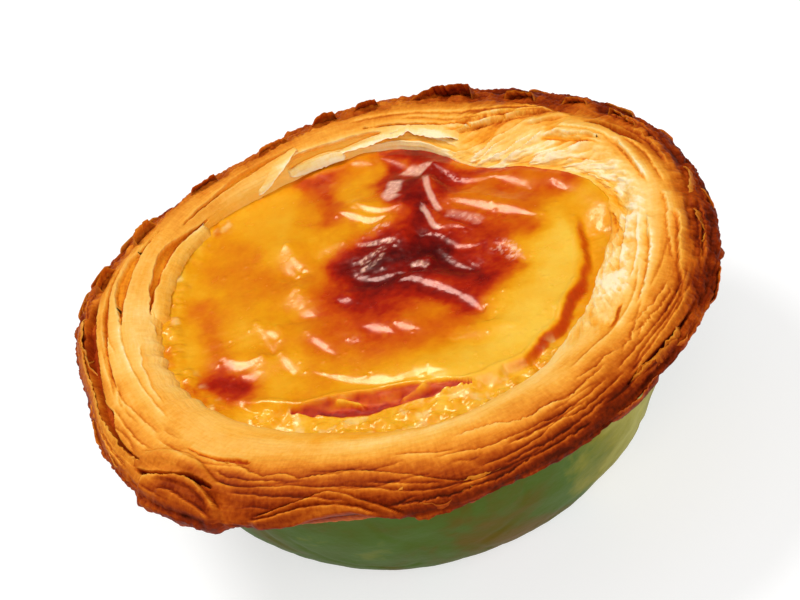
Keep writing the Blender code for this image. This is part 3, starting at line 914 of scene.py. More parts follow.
def shaped_field(share):
    """The whole surface of the rim over these shares."""
    degrees = np.arange(RIM_COLUMNS) * 360.0 / RIM_COLUMNS
    field = Field(degrees, share)
    around, across = degrees[None, :], share[:, None]
    field.lift += 0.16 * turn_noise(around, 16, 41, 2, across * 3)
    field.lift += 0.025 * turn_noise(around, 26, 43, 2, across * 34)
    field.bake += 0.10 * turn_noise(around, 18, 45, 3, across * 5)
    hollow = bulge(degrees, ((15, 1.0, 38),))[None, :] * smooth(0.0, 0.12, across) * smooth(0.42, 0.25, across)
    field.lift -= 0.9 * hollow
    # The inner wall at the back and left lies in shade: it gets a slightly darker level and glow, a painted warm glow
    # in place of its grey shade.
    wall = bulge(degrees, ((140, 1.0, 62),))[None, :] * smooth(0.20, 0.08, across)
    field.bake += 0.06 * wall
    field.glow += 0.8 * wall
    feathers(field)
    for number, (edge, step, bright) in enumerate(RIGHT_LEAVES):
        ledge(field, edge, step=step, reach=1.3, notch=0.30 * step, ends=3.0, tone=0.16, ragged=0.16,
              seed=400 + number, bright=0.8 * bright)
    for number, (edge, step, reach, ragged) in enumerate(LEDGES):
        ledge(field, edge, step=0.66 * step, reach=reach, notch=0.2 * step, ragged=0.5 * ragged, tone=0.07,
              seed=number, bright=0.20)
    fine_leaves(field)
    for number, (inner, outer, depth, level) in enumerate(GAPS):
        gap(field, inner, outer, depth, level, seed=number)
    syrup_stains(field)
    front_fold(field)
    rough_crust(field)
    ragged_lip(field)
    return field


def rim_rings(material):
    """The pastry rim as two closed rings that meet along the crest with the same shading."""
    share = np.concatenate([INNER_SHARES, OUTER_SHARES])
    field = shaped_field(share)
    grid = rim_place(field.degrees[None, :], share[:, None], field.lift)
    along = np.gradient(grid, axis=0)
    around = np.roll(grid, -1, axis=1) - np.roll(grid, 1, axis=1)
    normals = np.cross(around, along)
    normals = -normals / np.linalg.norm(normals, axis=-1, keepdims=True)
    seam = len(INNER_SHARES)
    angle = np.radians(field.degrees)
    under = np.stack([ROOT_RADIUS * np.cos(angle), ROOT_RADIUS * np.sin(angle), np.full_like(angle, 19.5)], -1)
    facts = {"bake": field.bake, "glow": field.glow, "around": np.radians(field.degrees)[None, :] * 34.0,
             "across": share[:, None] * SHARE_SPAN}
    pieces = []
    for name, rows in (("rim_inner", slice(0, seam)), ("rim_outer", slice(seam - 1, len(share)))):
        points = np.concatenate([grid[rows], under[None]])
        shading = np.concatenate([normals[rows], np.tile((0.0, 0.0, -1.0), (1, RIM_COLUMNS, 1))])
        count = len(points)
        step = np.arange(RIM_COLUMNS)
        following = (step + 1) % RIM_COLUMNS
        last = (count - 1) * RIM_COLUMNS
        closing = np.stack([last + step, last + following, following, step], -1)
        quads = np.concatenate([grid_faces(count, RIM_COLUMNS, wrap=True), closing])[:, ::-1]
        values = {}
        for key, fact_grid in facts.items():
            spread = np.broadcast_to(fact_grid, grid.shape[:2])[rows]
            values[key] = np.concatenate([spread, spread[-1:]]).ravel()
        piece = make_piece(name, points.reshape(-1, 3), quads, [], values, material)
        piece.data.normals_split_custom_set_from_vertices(shading.reshape(-1, 3).tolist())
        pieces.append(piece)
    return pieces


# ---------------------------------------------------------------- the cup under the lip

CUP_COLUMNS = 600
CUP_ROWS = 60

# How far along the ramp the cup's colour lies round the tart, as (angle, level): pale yellow-green at the right and
# dark green at the front, a painted green cast of reflected light with painted light at the right and painted shade at
# the front
CUP_CAST_AND_BROWN_LEVELS = ((0, 0.40), (180, 0.55), (235, 0.56), (262, 0.57), (275, 0.62), (288, 0.60), (296, 0.44), (305, 0.22),
             (315, 0.08), (332, 0.08), (348, 0.25), (360, 0.40))


def cup(material):
    """The bowl-shaped side and flat base under the lip, with an inside that the custard hides."""
    degrees = np.arange(CUP_COLUMNS)[None, :] * 360.0 / CUP_COLUMNS
    rise = np.linspace(0.0, 1.06, CUP_ROWS)[:, None]
    radius = mix(BASE_RADIUS, SIDE_TOP_RADIUS, rise)
    height = np.broadcast_to(SIDE_TOP_HEIGHT * rise**2, (CUP_ROWS, CUP_COLUMNS))
    off_base = smooth(0.0, 0.12, rise)
    dents = 0.34 * turn_noise(degrees, 16, 31, 3, rise * 3.5)
    creases = -0.15 * smooth(0.10, 0.0, np.abs(turn_noise(degrees + 14 * rise, 17, 33, 2, rise * 2.6)))
    pits = 0.07 * turn_noise(degrees, 110, 37, 3, rise * 14)
    radius = radius + off_base * (dents + creases + pits)
    angle = np.radians(degrees)
    outside = np.stack(np.broadcast_arrays(radius * np.cos(angle), radius * np.sin(angle), height), -1)
    inside = []
    for inner_radius, inner_height in ((30.0, 20.5), (20.0, 6.0)):
        inside.append(np.stack(np.broadcast_arrays(inner_radius * np.cos(angle), inner_radius * np.sin(angle), inner_height), -1)[0])
    points = np.concatenate([outside, np.array(inside)]).reshape(-1, 3)
    rows = CUP_ROWS + len(inside)
    low, high = len(points), len(points) + 1
    points = np.vstack([points, [[0, 0, 0], [0, 0, 6.0]]])
    step = np.arange(CUP_COLUMNS)
    following = (step + 1) % CUP_COLUMNS
    base_fan = np.stack([np.full_like(step, low), following, step], -1)
    top = (rows - 1) * CUP_COLUMNS
    top_fan = np.stack([np.full_like(step, high), top + step, top + following], -1)
    angles = [place for place, _ in CUP_CAST_AND_BROWN_LEVELS]
    bake = through(degrees, angles, [tone for _, tone in CUP_CAST_AND_BROWN_LEVELS]) + 0.12 * smooth(0.6, 0.2, rise)
    bake = np.broadcast_to(bake, (CUP_ROWS, CUP_COLUMNS)).ravel()
    bake = np.concatenate([bake, np.full(len(points) - len(bake), 0.5)])
    return make_piece(
        "cup",
        points,
        grid_faces(rows, CUP_COLUMNS, wrap=True),
        np.vstack([base_fan, top_fan]),
        {"bake": bake},
        material,
    )


# ---------------------------------------------------------------- loose leaves of pastry

LEAF_FACTS = ("bake", "glow", "around", "across")
LEAF_STEP_DEGREES = 0.25
LEAF_ROWS = 12


def leaf(shell, edge, width, lift=0.5, foot=-0.5, bow=0.0, tone=(-0.12, 0.05), thick=0.30, ragged=0.12,
         ends=(3.0, 3.0), seed=0, wave=0.10, curl=1.6, glow=0.0):
    """One leaf: a thin closed sheet whose free edge runs through (angle, share) points.

    Its face runs from that edge for width, in shares, outwards or inwards if width is negative, from
    lift mm above the envelope down to foot. Each end sinks into the rim over so many degrees. Tone is
    added to the rim's own baking level, first at the edge and last at the foot.
    """
    places = [place for place, _ in edge]
    first, last = places[0], places[-1]
    columns = max(int((last - first) / LEAF_STEP_DEGREES), 8) + 1
    degrees = np.linspace(first, last, columns)
    path = through(degrees, places, [share for _, share in edge]) + torn(degrees, ragged, seed)
    widths = width if isinstance(width, tuple) else (width, width)
    spread = through(degrees, np.linspace(first, last, len(widths)), widths)
    ending = np.ones(columns)
    if ends[0] > 0:
        ending = ending * smooth(0, ends[0], degrees - first)
    if ends[1] > 0:
        ending = ending * smooth(0, ends[1], last - degrees)
    depth = np.linspace(0.0, 1.0, LEAF_ROWS)[:, None] ** 1.3
    share = path[None, :] + spread[None, :] * depth
    slope = (1 - depth) ** curl
    height = foot + (lift - foot) * slope + bow * 4 * depth * (1 - depth)
    ripple = wave * turn_noise(degrees, 34, 60 + seed, 2) * (1 - depth)
    ripple = ripple + 0.35 * wave * turn_noise(degrees[None, :], 120, 80 + seed, 2, depth * 3)
    height = mix(-1.2 - 0.3 * abs(foot), height + ripple, ending[None, :])
    top = rim_place(degrees[None, :], share, height)
    thin = thick * (0.45 + 0.55 * smooth(0.0, 0.15, depth))
    bottom = rim_place(degrees[None, :], share, height - thin)
    points = np.concatenate([top, bottom[::-1]])
    rows = 2 * LEAF_ROWS
    outward = widths[0] > 0
    quads = grid_faces(rows, columns)
    last_row = (rows - 1) * columns
    step = np.arange(columns - 1)
    seam = np.stack([last_row + step, last_row + step + 1, step + 1, step], -1)
    sides = []
    for column, turned in ((0, False), (columns - 1, True)):
        for row in range(LEAF_ROWS - 1):
            a, b = row * columns + column, (row + 1) * columns + column
            c, d = (rows - 2 - row) * columns + column, (rows - 1 - row) * columns + column
            sides.append((d, c, b, a) if turned else (a, b, c, d))
    faces = np.concatenate([quads, seam, np.array(sides)])
    if outward:
        faces = faces[:, ::-1]
    # The free edge is lighter: a painted highlight.
    bright = -0.10 * np.exp(-((depth / 0.10) ** 2))
    mottled = 0.14 * turn_noise(degrees[None, :], 50, 200 + seed, 3, share * 14)
    level = baked(degrees[None, :], share) + mix(tone[0], tone[1], depth) + bright + mottled
    facts = {
        "bake": level,
        "glow": np.full(level.shape, glow),
        "around": np.radians(degrees)[None, :] * 34.0,
        "across": share * SHARE_SPAN,
    }
    for name in facts:
        values = np.broadcast_to(facts[name], (LEAF_ROWS, columns))
        facts[name] = np.concatenate([values, values[::-1]]).ravel()
    shell.add(points.reshape(-1, 3), faces, [], facts)


def back_leaves(shell):
    """The pale torn leaves of the far and left sides."""
    # The first leaf lies in shade and is given glow: painted warm glow in its shade.
    leaf(shell, [(126, 0.12), (130, 0.13), (137, 0.165), (142, 0.175), (150, 0.176), (158, 0.188), (163, 0.17),
                 (168, 0.12)],
         -0.14, lift=0.10, foot=0.9, tone=(-0.05, 0.05), ends=(5, 5), seed=3, curl=1.0, glow=0.3)
    leaf(shell, [(56, 0.25), (59, 0.23), (62, 0.20), (66, 0.165), (70, 0.155), (72, 0.155), (73.6, 0.185), (75, 0.15),
                 (78, 0.125), (80, 0.13), (83, 0.095), (86, 0.085), (90, 0.08), (93, 0.09)],
         (0.05, 0.075, 0.07, 0.06, 0.03), lift=0.35, foot=0.0, tone=(-0.12, -0.06), ragged=0.14, ends=(6, 2),
         seed=12, thick=0.2)
    leaf(shell, [(89.5, 0.03), (91, 0.015), (93, 0.005), (96, 0.0), (100, 0.005), (103, 0.025), (106, 0.08)],
         (0.06, 0.12, 0.12, 0.04), lift=0.5, foot=0.2, tone=(-0.10, -0.06), ragged=0.14, ends=(1.5, 1.5), seed=16,
         thick=0.2, curl=1.0)
    leaf(shell, [(99, 0.29), (101, 0.265), (103, 0.22), (105, 0.17), (107, 0.13), (109, 0.09), (111, 0.05),
                 (113, 0.02), (116, 0.0)],
         (0.02, 0.09, 0.12, 0.07, 0.03), lift=0.5, foot=0.15, tone=(-0.12, -0.06), ragged=0.10, ends=(2, 3),
         seed=13, thick=0.2, curl=1.0)


def outer_leaves(shell):
    """The thin brown leaves that stand free at the left and at the front lip."""
    leaf(shell, [(158, 0.70), (164, 0.715), (170, 0.738), (178, 0.742), (184, 0.735), (190, 0.745), (196, 0.738),
                 (202, 0.72), (209, 0.69)],
         0.20, lift=0.35, foot=-0.2, bow=0.1, tone=(-0.14, 0.02), ragged=0.25, ends=(4, 3), seed=72)
    leaf(shell, [(258, 0.88), (261, 0.86), (265, 0.875), (268, 0.90), (271, 0.84), (273, 0.85), (275, 0.92)],
         0.10, lift=0.40, foot=-0.2, tone=(-0.10, 0.0), ragged=0.3, ends=(2, 2), seed=77)


# Brown flakes that stand up along the far crest: the edge, how high in mm, how dark, and how soon each end sinks
FLAKES = (
    (((60, 0.545), (66, 0.535), (72, 0.52), (80, 0.50)), 1.8, 0.14, (0.5, 14)),
    (((45, 0.60), (49, 0.585), (54, 0.57)), 1.2, 0.04, (1.5, 2.5)),
    (((80, 0.50), (84, 0.495), (88, 0.49)), 0.9, 0.06, (0.8, 4)),
    (((89, 0.48), (92, 0.475), (98, 0.47)), 1.3, 0.10, (1.0, 5)),
    (((100, 0.46), (105, 0.46), (110, 0.46)), 0.7, 0.08, (2.0, 3)),
    (((118, 0.46), (122, 0.46), (127, 0.47)), 0.8, 0.08, (1.0, 3)),
    (((134, 0.50), (138, 0.50), (142, 0.51)), 1.4, 0.16, (2.5, 0.8)),
    (((147, 0.58), (151, 0.585), (155, 0.59)), 1.4, 0.12, (3.0, 0.8)),
    (((20, 0.68), (25, 0.66), (30, 0.65)), 0.9, 0.0, (2.0, 1.5)),
    (((34, 0.64), (37, 0.63), (41, 0.61)), 0.9, 0.0, (1.0, 2.5)),
)


def flakes(shell):
    for number, (edge, lift, dark, ends) in enumerate(FLAKES):
        leaf(shell, edge, 0.12, lift=lift, foot=-0.4, tone=(dark, 0.05), ragged=0.35, ends=ends, seed=600 + number,
             wave=0.25)


def crust_leaves(shell):
    """Short brown leaves all round the outer crust and the lip."""
    for number in range(52):
        start = 360.0 * number / 52 + 6 * lattice(number, 4, 0, 7)
        if 196 < start < 252:
            continue
        reach = 11 + 7 * lattice(number, 5, 0, 7)
        level = 0.84 + 0.12 * lattice(number, 6, 0, 7)
        edge = [(start + reach * step / 3, level + 0.04 * lattice(number, 8, step, 7)) for step in range(4)]
        leaf(shell, edge, 0.13, lift=0.30, foot=-0.5, tone=(-0.12, 0.04), ragged=0.28, ends=(4, 4), thick=0.3,
             seed=300 + number)


# ---------------------------------------------------------------- custard

CUSTARD_CELLS = 308
CUSTARD_DOME = 1.2
CUSTARD_REACH = 0.5

# How much higher the custard stands where it meets the pastry: (angle, rise in mm, half width in degrees)
BANKS = ((145, 1.0, 28), (188, 0.8, 28), (10, 0.9, 20))

# Where the skin ends above the moat, seen from above, in mm, from the right round the front
SKIN_EDGE = (
    (23.4, 3.5), (23.0, -1.0), (22.4, -5.0), (21.4, -8.3), (20.2, -10.2), (18.6, -12.6), (17.4, -14.6), (16.0, -16.0),
    (14.6, -16.9), (13.5, -18.2), (12.0, -19.4), (8.5, -20.1), (5.0, -20.5), (2.0, -20.0), (0.0, -18.8), (-3.0, -17.7),
    (-8.0, -16.0), (-11.0, -15.5), (-14.3, -14.9), (-18.0, -12.6), (-22.0, -9.6),
)
MOAT_DEPTH = 1.0

# The split in the skin at the front: its middle line and its half width at even steps along it
SPLIT = ((-15.2, -14.8), (-11.4, -16.1), (-8.0, -17.2), (-4.0, -18.0), (0.0, -19.0), (5.2, -20.4))
SPLIT_WIDTHS = (0.15, 0.95, 1.55, 1.35, 0.85, 0.10)
SPLIT_DEPTH = 0.6

# The slope in x and in y that turns the skin's shine to the viewer
SHINE_SLOPE = (0.235, 0.290)
SHINE_SPREAD = 4.5
SHINE_ROUNDS = 40
SHADE_SPREAD = 1.2
RELIEF_CELLS = 512
RELIEF_HALF = 32.0

# Drawn folds of the skin, each with its points, half width in mm, and its share of that slope
FOLDS = (
    (((4.0, 26.2), (5.8, 23.9), (6.9, 21.9)), 0.60, 0.90),
    (((9.8, 20.9), (10.6, 19.3), (11.6, 17.0), (13.2, 15.6), (16.2, 14.9)), 0.59, 1.00),
    (((16.4, 14.6), (17.8, 13.2), (19.0, 11.6), (19.5, 10.3)), 0.91, 0.90),
    (((8.4, 17.8), (8.0, 15.2), (8.2, 13.2), (8.6, 11.4)), 0.46, 1.00),
    (((6.6, 13.8), (7.0, 11.2), (7.2, 9.2), (7.9, 8.2), (9.6, 7.5), (11.3, 6.0)), 0.38, 1.10),
    (((8.9, 11.6), (10.2, 12.4), (11.8, 11.2), (13.6, 9.7), (15.6, 7.9), (17.6, 6.0), (19.7, 4.3)), 0.62, 1.10),
    (((9.2, 12.2), (10.3, 13.2)), 0.56, 0.90),
    (((22.3, 10.4), (22.7, 9.3), (23.3, 8.0)), 0.30, 1.00),
    (((8.9, 10.8), (10.8, 9.4), (12.0, 8.1), (12.9, 6.8)), 0.59, 0.60),
    (((5.4, 8.3), (7.3, 7.4), (8.3, 5.6), (9.1, 4.0), (10.6, 3.2), (12.2, 2.8)), 0.43, 1.10),
    (((7.2, 5.6), (7.1, 4.0), (7.7, 2.0), (8.9, 0.3), (10.2, -0.9)), 0.42, 1.00),
    (((-2.2, 10.3), (-0.4, 9.6), (1.1, 9.0), (2.4, 8.5), (2.0, 7.4), (0.6, 6.9)), 0.56, 0.90),
    (((0.2, 7.2), (-1.6, 7.3), (-3.4, 6.8)), 0.64, 0.80),
    (((0.2, 6.4), (-1.6, 5.7), (-3.1, 4.9), (-2.4, 3.7), (-0.9, 3.0), (0.6, 2.8), (1.9, 2.1)), 0.43, 1.10),
    (((2.9, 3.1), (4.0, 2.6), (5.1, 3.1)), 0.46, 0.90),
    (((1.5, 0.7), (3.0, 0.2), (4.2, -1.1), (5.4, -2.5), (6.6, -4.1), (7.8, -5.4)), 0.62, 1.10),
    (((7.4, -5.0), (8.3, -6.6), (9.2, -8.8)), 0.52, 1.10),
    (((13.2, 2.2), (14.3, 1.2), (15.2, -0.6), (15.9, -2.4)), 0.78, 0.80),
    (((12.6, 3.2), (12.1, 1.2), (12.9, 0.2)), 0.37, 0.80),
    (((-3.1, 17.3), (-2.0, 16.0), (-0.8, 14.6), (0.8, 13.6), (2.1, 13.4)), 0.49, 1.10),
    (((-0.8, 17.5), (0.1, 16.0), (1.4, 14.8), (2.6, 14.2), (4.0, 14.1)), 0.51, 1.00),
    (((0.2, 27.4), (1.4, 26.6), (2.6, 25.8)), 0.80, 0.95),
    (((-4.4, 27.8), (-3.6, 26.4), (-3.0, 25.2)), 0.60, 0.7),
    (((1.1, 12.3), (0.7, 10.8), (1.4, 10.1)), 0.42, 0.70),
    (((2.5, 13.0), (1.8, 11.0)), 0.42, 0.70),
    (((-10.4, 14.2), (-10.6, 12.0), (-10.9, 10.0), (-10.4, 8.2)), 0.42, 1.10),
    (((-10.2, 11.6), (-9.6, 9.8), (-8.7, 8.2)), 0.42, 1.10),
    (((-10.9, 5.0), (-10.9, 3.0), (-10.5, 1.0), (-9.7, -0.2)), 0.82, 1.00),
    (((-7.0, 10.3), (-5.5, 11.2), (-3.9, 11.5)), 0.56, 0.70),
    (((-6.2, 0.8), (-4.8, 0.4)), 0.46, 0.80),
    (((-16.4, 1.6), (-16.1, 0.0), (-15.6, -2.0), (-15.2, -4.2)), 0.31, 0.90),
    (((-15.6, -0.2), (-14.9, -1.3), (-14.1, -2.5)), 0.56, 1.00),
    (((-14.5, -5.0), (-14.2, -7.0), (-13.7, -9.0)), 0.33, 0.90),
    (((-20.9, -2.2), (-20.2, -3.6), (-19.2, -4.8), (-18.0, -5.0), (-16.8, -4.6)), 0.51, 1.10),
    (((-19.6, -6.0), (-18.6, -6.9), (-17.6, -6.3)), 0.37, 0.70),
    (((-11.0, -3.2), (-10.3, -5.0), (-9.5, -6.4), (-8.6, -7.9)), 0.52, 1.00),
    (((-4.2, -5.4), (-2.6, -6.9), (-1.4, -8.2)), 0.68, 0.80),
    (((-0.9, -6.8), (0.2, -7.9), (1.5, -9.0)), 0.59, 0.80),
    (((-6.6, -6.2), (-5.6, -7.4)), 0.59, 0.60),
    (((-11.2, -10.1), (-9.5, -11.8), (-7.5, -13.4), (-5.5, -14.8), (-3.5, -16.0), (-1.0, -16.3), (1.0, -17.0),
      (3.0, -17.9)), 0.46, 1.10),
    (((-6.0, -14.4), (-4.4, -15.2), (-3.0, -16.1)), 0.73, 1.00),
    (((-1.2, -16.2), (0.4, -16.7), (2.2, -17.5)), 0.78, 1.00),
    (((-20.9, -14.7), (-19.3, -14.1), (-18.0, -14.6), (-17.2, -16.0), (-15.8, -17.3)), 0.51, 1.10),
    (((-22.2, -15.8), (-20.6, -17.4), (-19.2, -18.8)), 0.59, 0.90),
    (((5.2, -12.4), (8.4, -13.2), (12.2, -13.8)), 0.73, 0.60),
    (((17.6, -12.6), (17.0, -14.6)), 0.42, 0.90),
    (((9.6, -10.8), (10.8, -9.2), (12.2, -7.4)), 0.42, 0.60),
)

# Bare ridges where the brown skin has drawn back inside the split: points, height and half width in mm
SPLIT_RIDGES = (
    (((-13.0, -16.0), (-12.0, -16.9), (-10.4, -18.0), (-9.0, -19.0)), 0.5, 0.30),
    (((-10.4, -15.7), (-9.0, -16.1), (-7.8, -16.9), (-7.0, -18.1)), 0.8, 0.28),
    (((-3.4, -18.7), (-1.2, -18.8), (0.8, -18.4)), 0.6, 0.35),
    (((-6.0, -19.2), (-3.0, -19.5), (1.0, -20.0)), 0.4, 0.30),
)

# Scorched strokes over the skin: points, half width in mm and level
SCORCHES = (
    (((-8.0, -5.0), (-3.6, -7.6), (1.6, -9.6), (6.0, -9.2)), 3.2, 0.50),
    (((-8.2, 3.0), (-7.4, -1.6), (-5.0, -4.6)), 1.6, 0.44),
    (((24.2, 9.4), (23.2, 11.6), (20.4, 14.4)), 1.1, 0.58),
    (((-4.8, 26.0), (-4.6, 21.0), (-4.2, 17.0)), 1.3, 0.55),
    (((-5.4, 26.6), (-3.0, 26.4)), 1.6, 0.60),
    (((4.6, 23.6), (4.2, 20.0), (3.4, 16.5)), 1.1, 0.64),
    (((-17.5, 15.6), (-15.0, 11.4), (-13.0, 7.4)), 3.0, 0.38),
    (((-21.8, 8.0), (-21.6, 2.0), (-21.4, -4.5)), 1.6, 0.44),
    (((-22.6, -5.8), (-21.0, -7.2), (-20.0, -8.6)), 1.7, 0.74),
    (((22.4, 9.6), (19.6, 9.0), (17.4, 6.4)), 2.8, 0.50),
    (((12.2, 12.8), (15.4, 12.2), (19.4, 13.2)), 2.6, 0.49),
    (((9.5, 20.5), (11.8, 17.6), (15.4, 16.4), (19.0, 15.4)), 1.2, 0.66),
    (((12.4, 8.6), (15.0, 5.6), (18.0, 2.6)), 1.3, 0.50),
    (((5.4, 26.4), (8.2, 24.6), (10.2, 21.4)), 1.5, 0.80),
    (((4.4, 21.0), (5.4, 19.0), (5.9, 16.4)), 1.4, 0.74),
    (((7.0, 19.0), (6.4, 15.0), (5.6, 10.0)), 2.0, 0.84),
    (((9.6, 17.6), (9.6, 14.4)), 1.3, 0.74),
    (((9.6, 9.0), (11.6, 5.6), (13.4, 3.4)), 1.5, 0.64),
    (((12.0, 2.0), (13.0, 0.0), (13.2, -2.4)), 2.0, 0.66),
    (((-4.8, 1.6), (-3.6, -1.6), (-1.4, -4.0)), 2.5, 0.68),
    (((-4.4, 6.8), (-1.4, 8.2), (1.6, 9.6)), 1.9, 0.76),
    (((1.8, -1.6), (4.8, -3.2), (7.0, -5.0), (7.8, -6.2)), 1.7, 0.72),
    (((6.4, 1.2), (9.0, -1.4), (10.6, -4.0)), 2.4, 0.80),
    (((-1.6, 1.8), (3.0, 0.6), (6.4, 1.4)), 2.2, 0.84),
    (((-1.2, 5.2), (2.6, 5.6), (6.4, 5.2)), 2.5, 0.96),
)


# Painted highlights on the skin, as streaks and mottled patches of glints: points, half width in mm, strength and how
# mottled
PAINTED_HIGHLIGHT_STREAKS = (
    (((8.3, 19.6), (8.0, 16.0), (8.2, 13.2), (8.5, 11.3)), 0.34, 0.60, 0.1),
    (((6.6, 13.6), (6.9, 11.2), (7.2, 9.0), (8.0, 8.3)), 0.30, 0.60, 0.1),
    (((8.8, 10.8), (10.4, 9.8), (11.8, 8.4), (12.8, 6.8)), 0.60, 0.42, 0.5),
    (((4.9, 20.6), (4.4, 19.4), (3.8, 18.2), (3.4, 17.2), (4.0, 15.8)), 0.85, 0.80, 0.25),
    (((6.2, 22.6), (6.8, 21.6), (7.8, 20.8), (8.4, 20.2)), 0.95, 0.80, 0.25),
    (((7.6, 21.8), (8.8, 21.6), (9.4, 21.0)), 0.45, 0.70, 0.4),
    (((-2.6, 10.4), (-0.6, 9.6), (1.0, 9.0), (2.6, 8.2)), 0.34, 0.60, 0.8),
    (((-2.8, 6.6), (-0.8, 7.2), (1.2, 8.2)), 0.42, 0.60, 0.9),
    (((-3.0, 5.4), (-1.2, 5.8), (0.8, 6.8)), 0.32, 0.55, 0.9),
    (((12.8, 2.2), (14.2, 0.8), (15.2, -1.8)), 0.90, 0.45, 1.0),
    (((3.0, 3.2), (4.2, 2.8), (5.0, 1.8)), 0.40, 0.60, 0.6),
    (((-1.0, 11.8), (1.0, 12.0), (2.4, 11.6)), 0.40, 0.40, 1.0),
)


def custard_cells():
    """A grid over the custard's top, in mm, whose outline is the mouth, and how far out each point is."""
    line = np.linspace(-1, 1, CUSTARD_CELLS + 1)
    u, v = np.meshgrid(line, line)
    x, y = u * np.sqrt(1 - v * v / 2), v * np.sqrt(1 - u * u / 2)
    out = np.hypot(x, y)
    degrees = np.degrees(np.arctan2(y, x))
    reach = mouth_radius(degrees) + CUSTARD_REACH
    return x * reach, y * reach, out, degrees


def sampled(grid, x, y):
    """The relief grid's values at these places in mm."""
    step = 2 * RELIEF_HALF / RELIEF_CELLS
    column, row = (x + RELIEF_HALF) / step, (y + RELIEF_HALF) / step
    i, j = np.floor(row).astype(int), np.floor(column).astype(int)
    t, u = row - i, column - j
    return mix(mix(grid[i, j], grid[i, j + 1], u), mix(grid[i + 1, j], grid[i + 1, j + 1], u), t)


def drawn_skin():
    """Two grids in mm: the height of the skin's folds, level away from them, and how deep its valleys are.

    Along each fold the skin leans by its share of SHINE_SLOPE: what is still missing there is added
    to the wanted lean, and the surface that comes nearest to it is worked out again.
    """
    line = (np.arange(RELIEF_CELLS) * 2 / RELIEF_CELLS - 1) * RELIEF_HALF
    x, y = np.meshgrid(line, line)
    wander = 0.10 * rough(x / 0.9, y / 0.9, 4.0, 431, 2) + 0.16 * noise(x / 2.6, y / 2.6, 1.0, 433)
    held, share = np.zeros_like(x), np.zeros_like(x)
    for points, width, strength in FOLDS:
        distance, along = near_curve(x, y, points)
        taper = 0.30 + 0.70 * smooth(0.0, 0.35, along) * smooth(1.0, 0.65, along)
        away = np.abs(distance + wander) / (width * taper)
        share = np.maximum(share, strength * np.exp(-((0.95 * away) ** 2)))
        held = np.maximum(held, smooth(2.4, 1.5, away))
    share = share * (1 + 0.10 * noise(x / 1.4, y / 1.4, 2.0, 437))
    dome_slope = 2 * CUSTARD_DOME / MOUTH_RADIUS**2
    wanted = [share * (SHINE_SLOPE[0] + dome_slope * x), share * (SHINE_SLOPE[1] + dome_slope * y)]
    step = 2 * RELIEF_HALF / RELIEF_CELLS
    wave = math.tau * np.fft.fftfreq(RELIEF_CELLS, step)
    wave_x, wave_y = wave[None, :], wave[:, None]
    pull = wave_x**2 + wave_y**2 + SHINE_SPREAD**-2
    lean_x, lean_y = held * wanted[0], held * wanted[1]
    for _ in range(SHINE_ROUNDS):
        height = np.real(np.fft.ifft2(-1j * (wave_x * np.fft.fft2(lean_x) + wave_y * np.fft.fft2(lean_y)) / pull))
        slope_y, slope_x = np.gradient(height, step)
        lean_x += held * (wanted[0] - slope_x)
        lean_y += held * (wanted[1] - slope_y)
    blur = np.exp(-0.5 * (wave_x**2 + wave_y**2) * SHADE_SPREAD**2)
    return height, np.real(np.fft.ifft2(np.fft.fft2(height) * blur)) - height


def scorch_level(x, y):
    """How far the custard is browned, from 0 for bright yellow to 1 for nearly black."""
    wander_x = 0.8 * rough(x / 4.0, y / 4.0, 0.0, 401) + 0.35 * rough(x / 1.2, y / 1.2, 0.0, 405)
    wander_y = 0.8 * rough(x / 4.0, y / 4.0, 7.0, 402) + 0.35 * rough(x / 1.2, y / 1.2, 7.0, 406)
    level = 0.27 + 0.09 * rough(x / 6.0, y / 7.0, 3.0, 403) + 0.05 * rough(x / 1.8, y / 5.0, 5.0, 407)
    level = level - 0.04 * smooth(12, 20, y) * smooth(-6, -18, x) - 0.05 * smooth(-12, -20, x) * smooth(-4, -12, y)
    bright = smooth(-6, 12, x - 0.4 * y) * smooth(3, -9, y - 0.55 * x + 3)
    level = mix(level, 0.05 + 0.06 * rough(x / 3.0, y / 4.0, 1.0, 408), bright)
    level = mix(level, 0.12, smooth(15, 19, x) * smooth(9, 3, y) * (1 - bright))
    for points, width, strength in SCORCHES:
        distance, _ = near_curve(x + wander_x, y + wander_y, points)
        cover = np.exp(-0.55 * (distance / width) ** 2)
        level = mix(level, np.maximum(level, strength), cover)
    return level


def lumps(x, y, moat, border):
    """Soft lumps and burst bubbles of syrup in the moat and along the left of the mouth, in mm."""
    total = np.zeros_like(x)
    for number in range(190):
        if number % 3 == 0:
            turn = math.radians(158 + 34 * lattice(number, 1, 0, 91))
            radius = 25.6 + 1.6 * lattice(number, 2, 0, 91)
        else:
            turn = math.radians(262 + 50 * lattice(number, 3, 0, 91))
            radius = 23.6 + 2.2 * lattice(number, 4, 0, 91)
        cx, cy = radius * math.cos(turn), radius * math.sin(turn)
        size = 0.75 + 0.40 * lattice(number, 5, 0, 91)
        near = (np.abs(x - cx) < 2 * size) & (np.abs(y - cy) < 2 * size)
        away = np.hypot(x[near] - cx, (y[near] - cy) * 1.3) / size
        total[near] = np.maximum(total[near], 0.50 * size * np.exp(-(away**2) * 1.6))
    return total * np.maximum(moat, border)


def bubbles(x, y):
    """Tiny bubbles under the skin, in mm: single glints over the custard."""
    total = np.zeros_like(x)
    for number in range(260):
        turn = math.pi * lattice(number, 1, 0, 97)
        radius = 24.0 * math.sqrt(abs(lattice(number, 2, 0, 97)))
        size = 0.20 + 0.08 * lattice(number, 3, 0, 97)
        away = np.hypot(x - radius * math.cos(turn), y - radius * math.sin(turn)) / size
        near = away < 3
        total[near] += 0.36 * size * np.exp(-(away[near] ** 2))
    return total


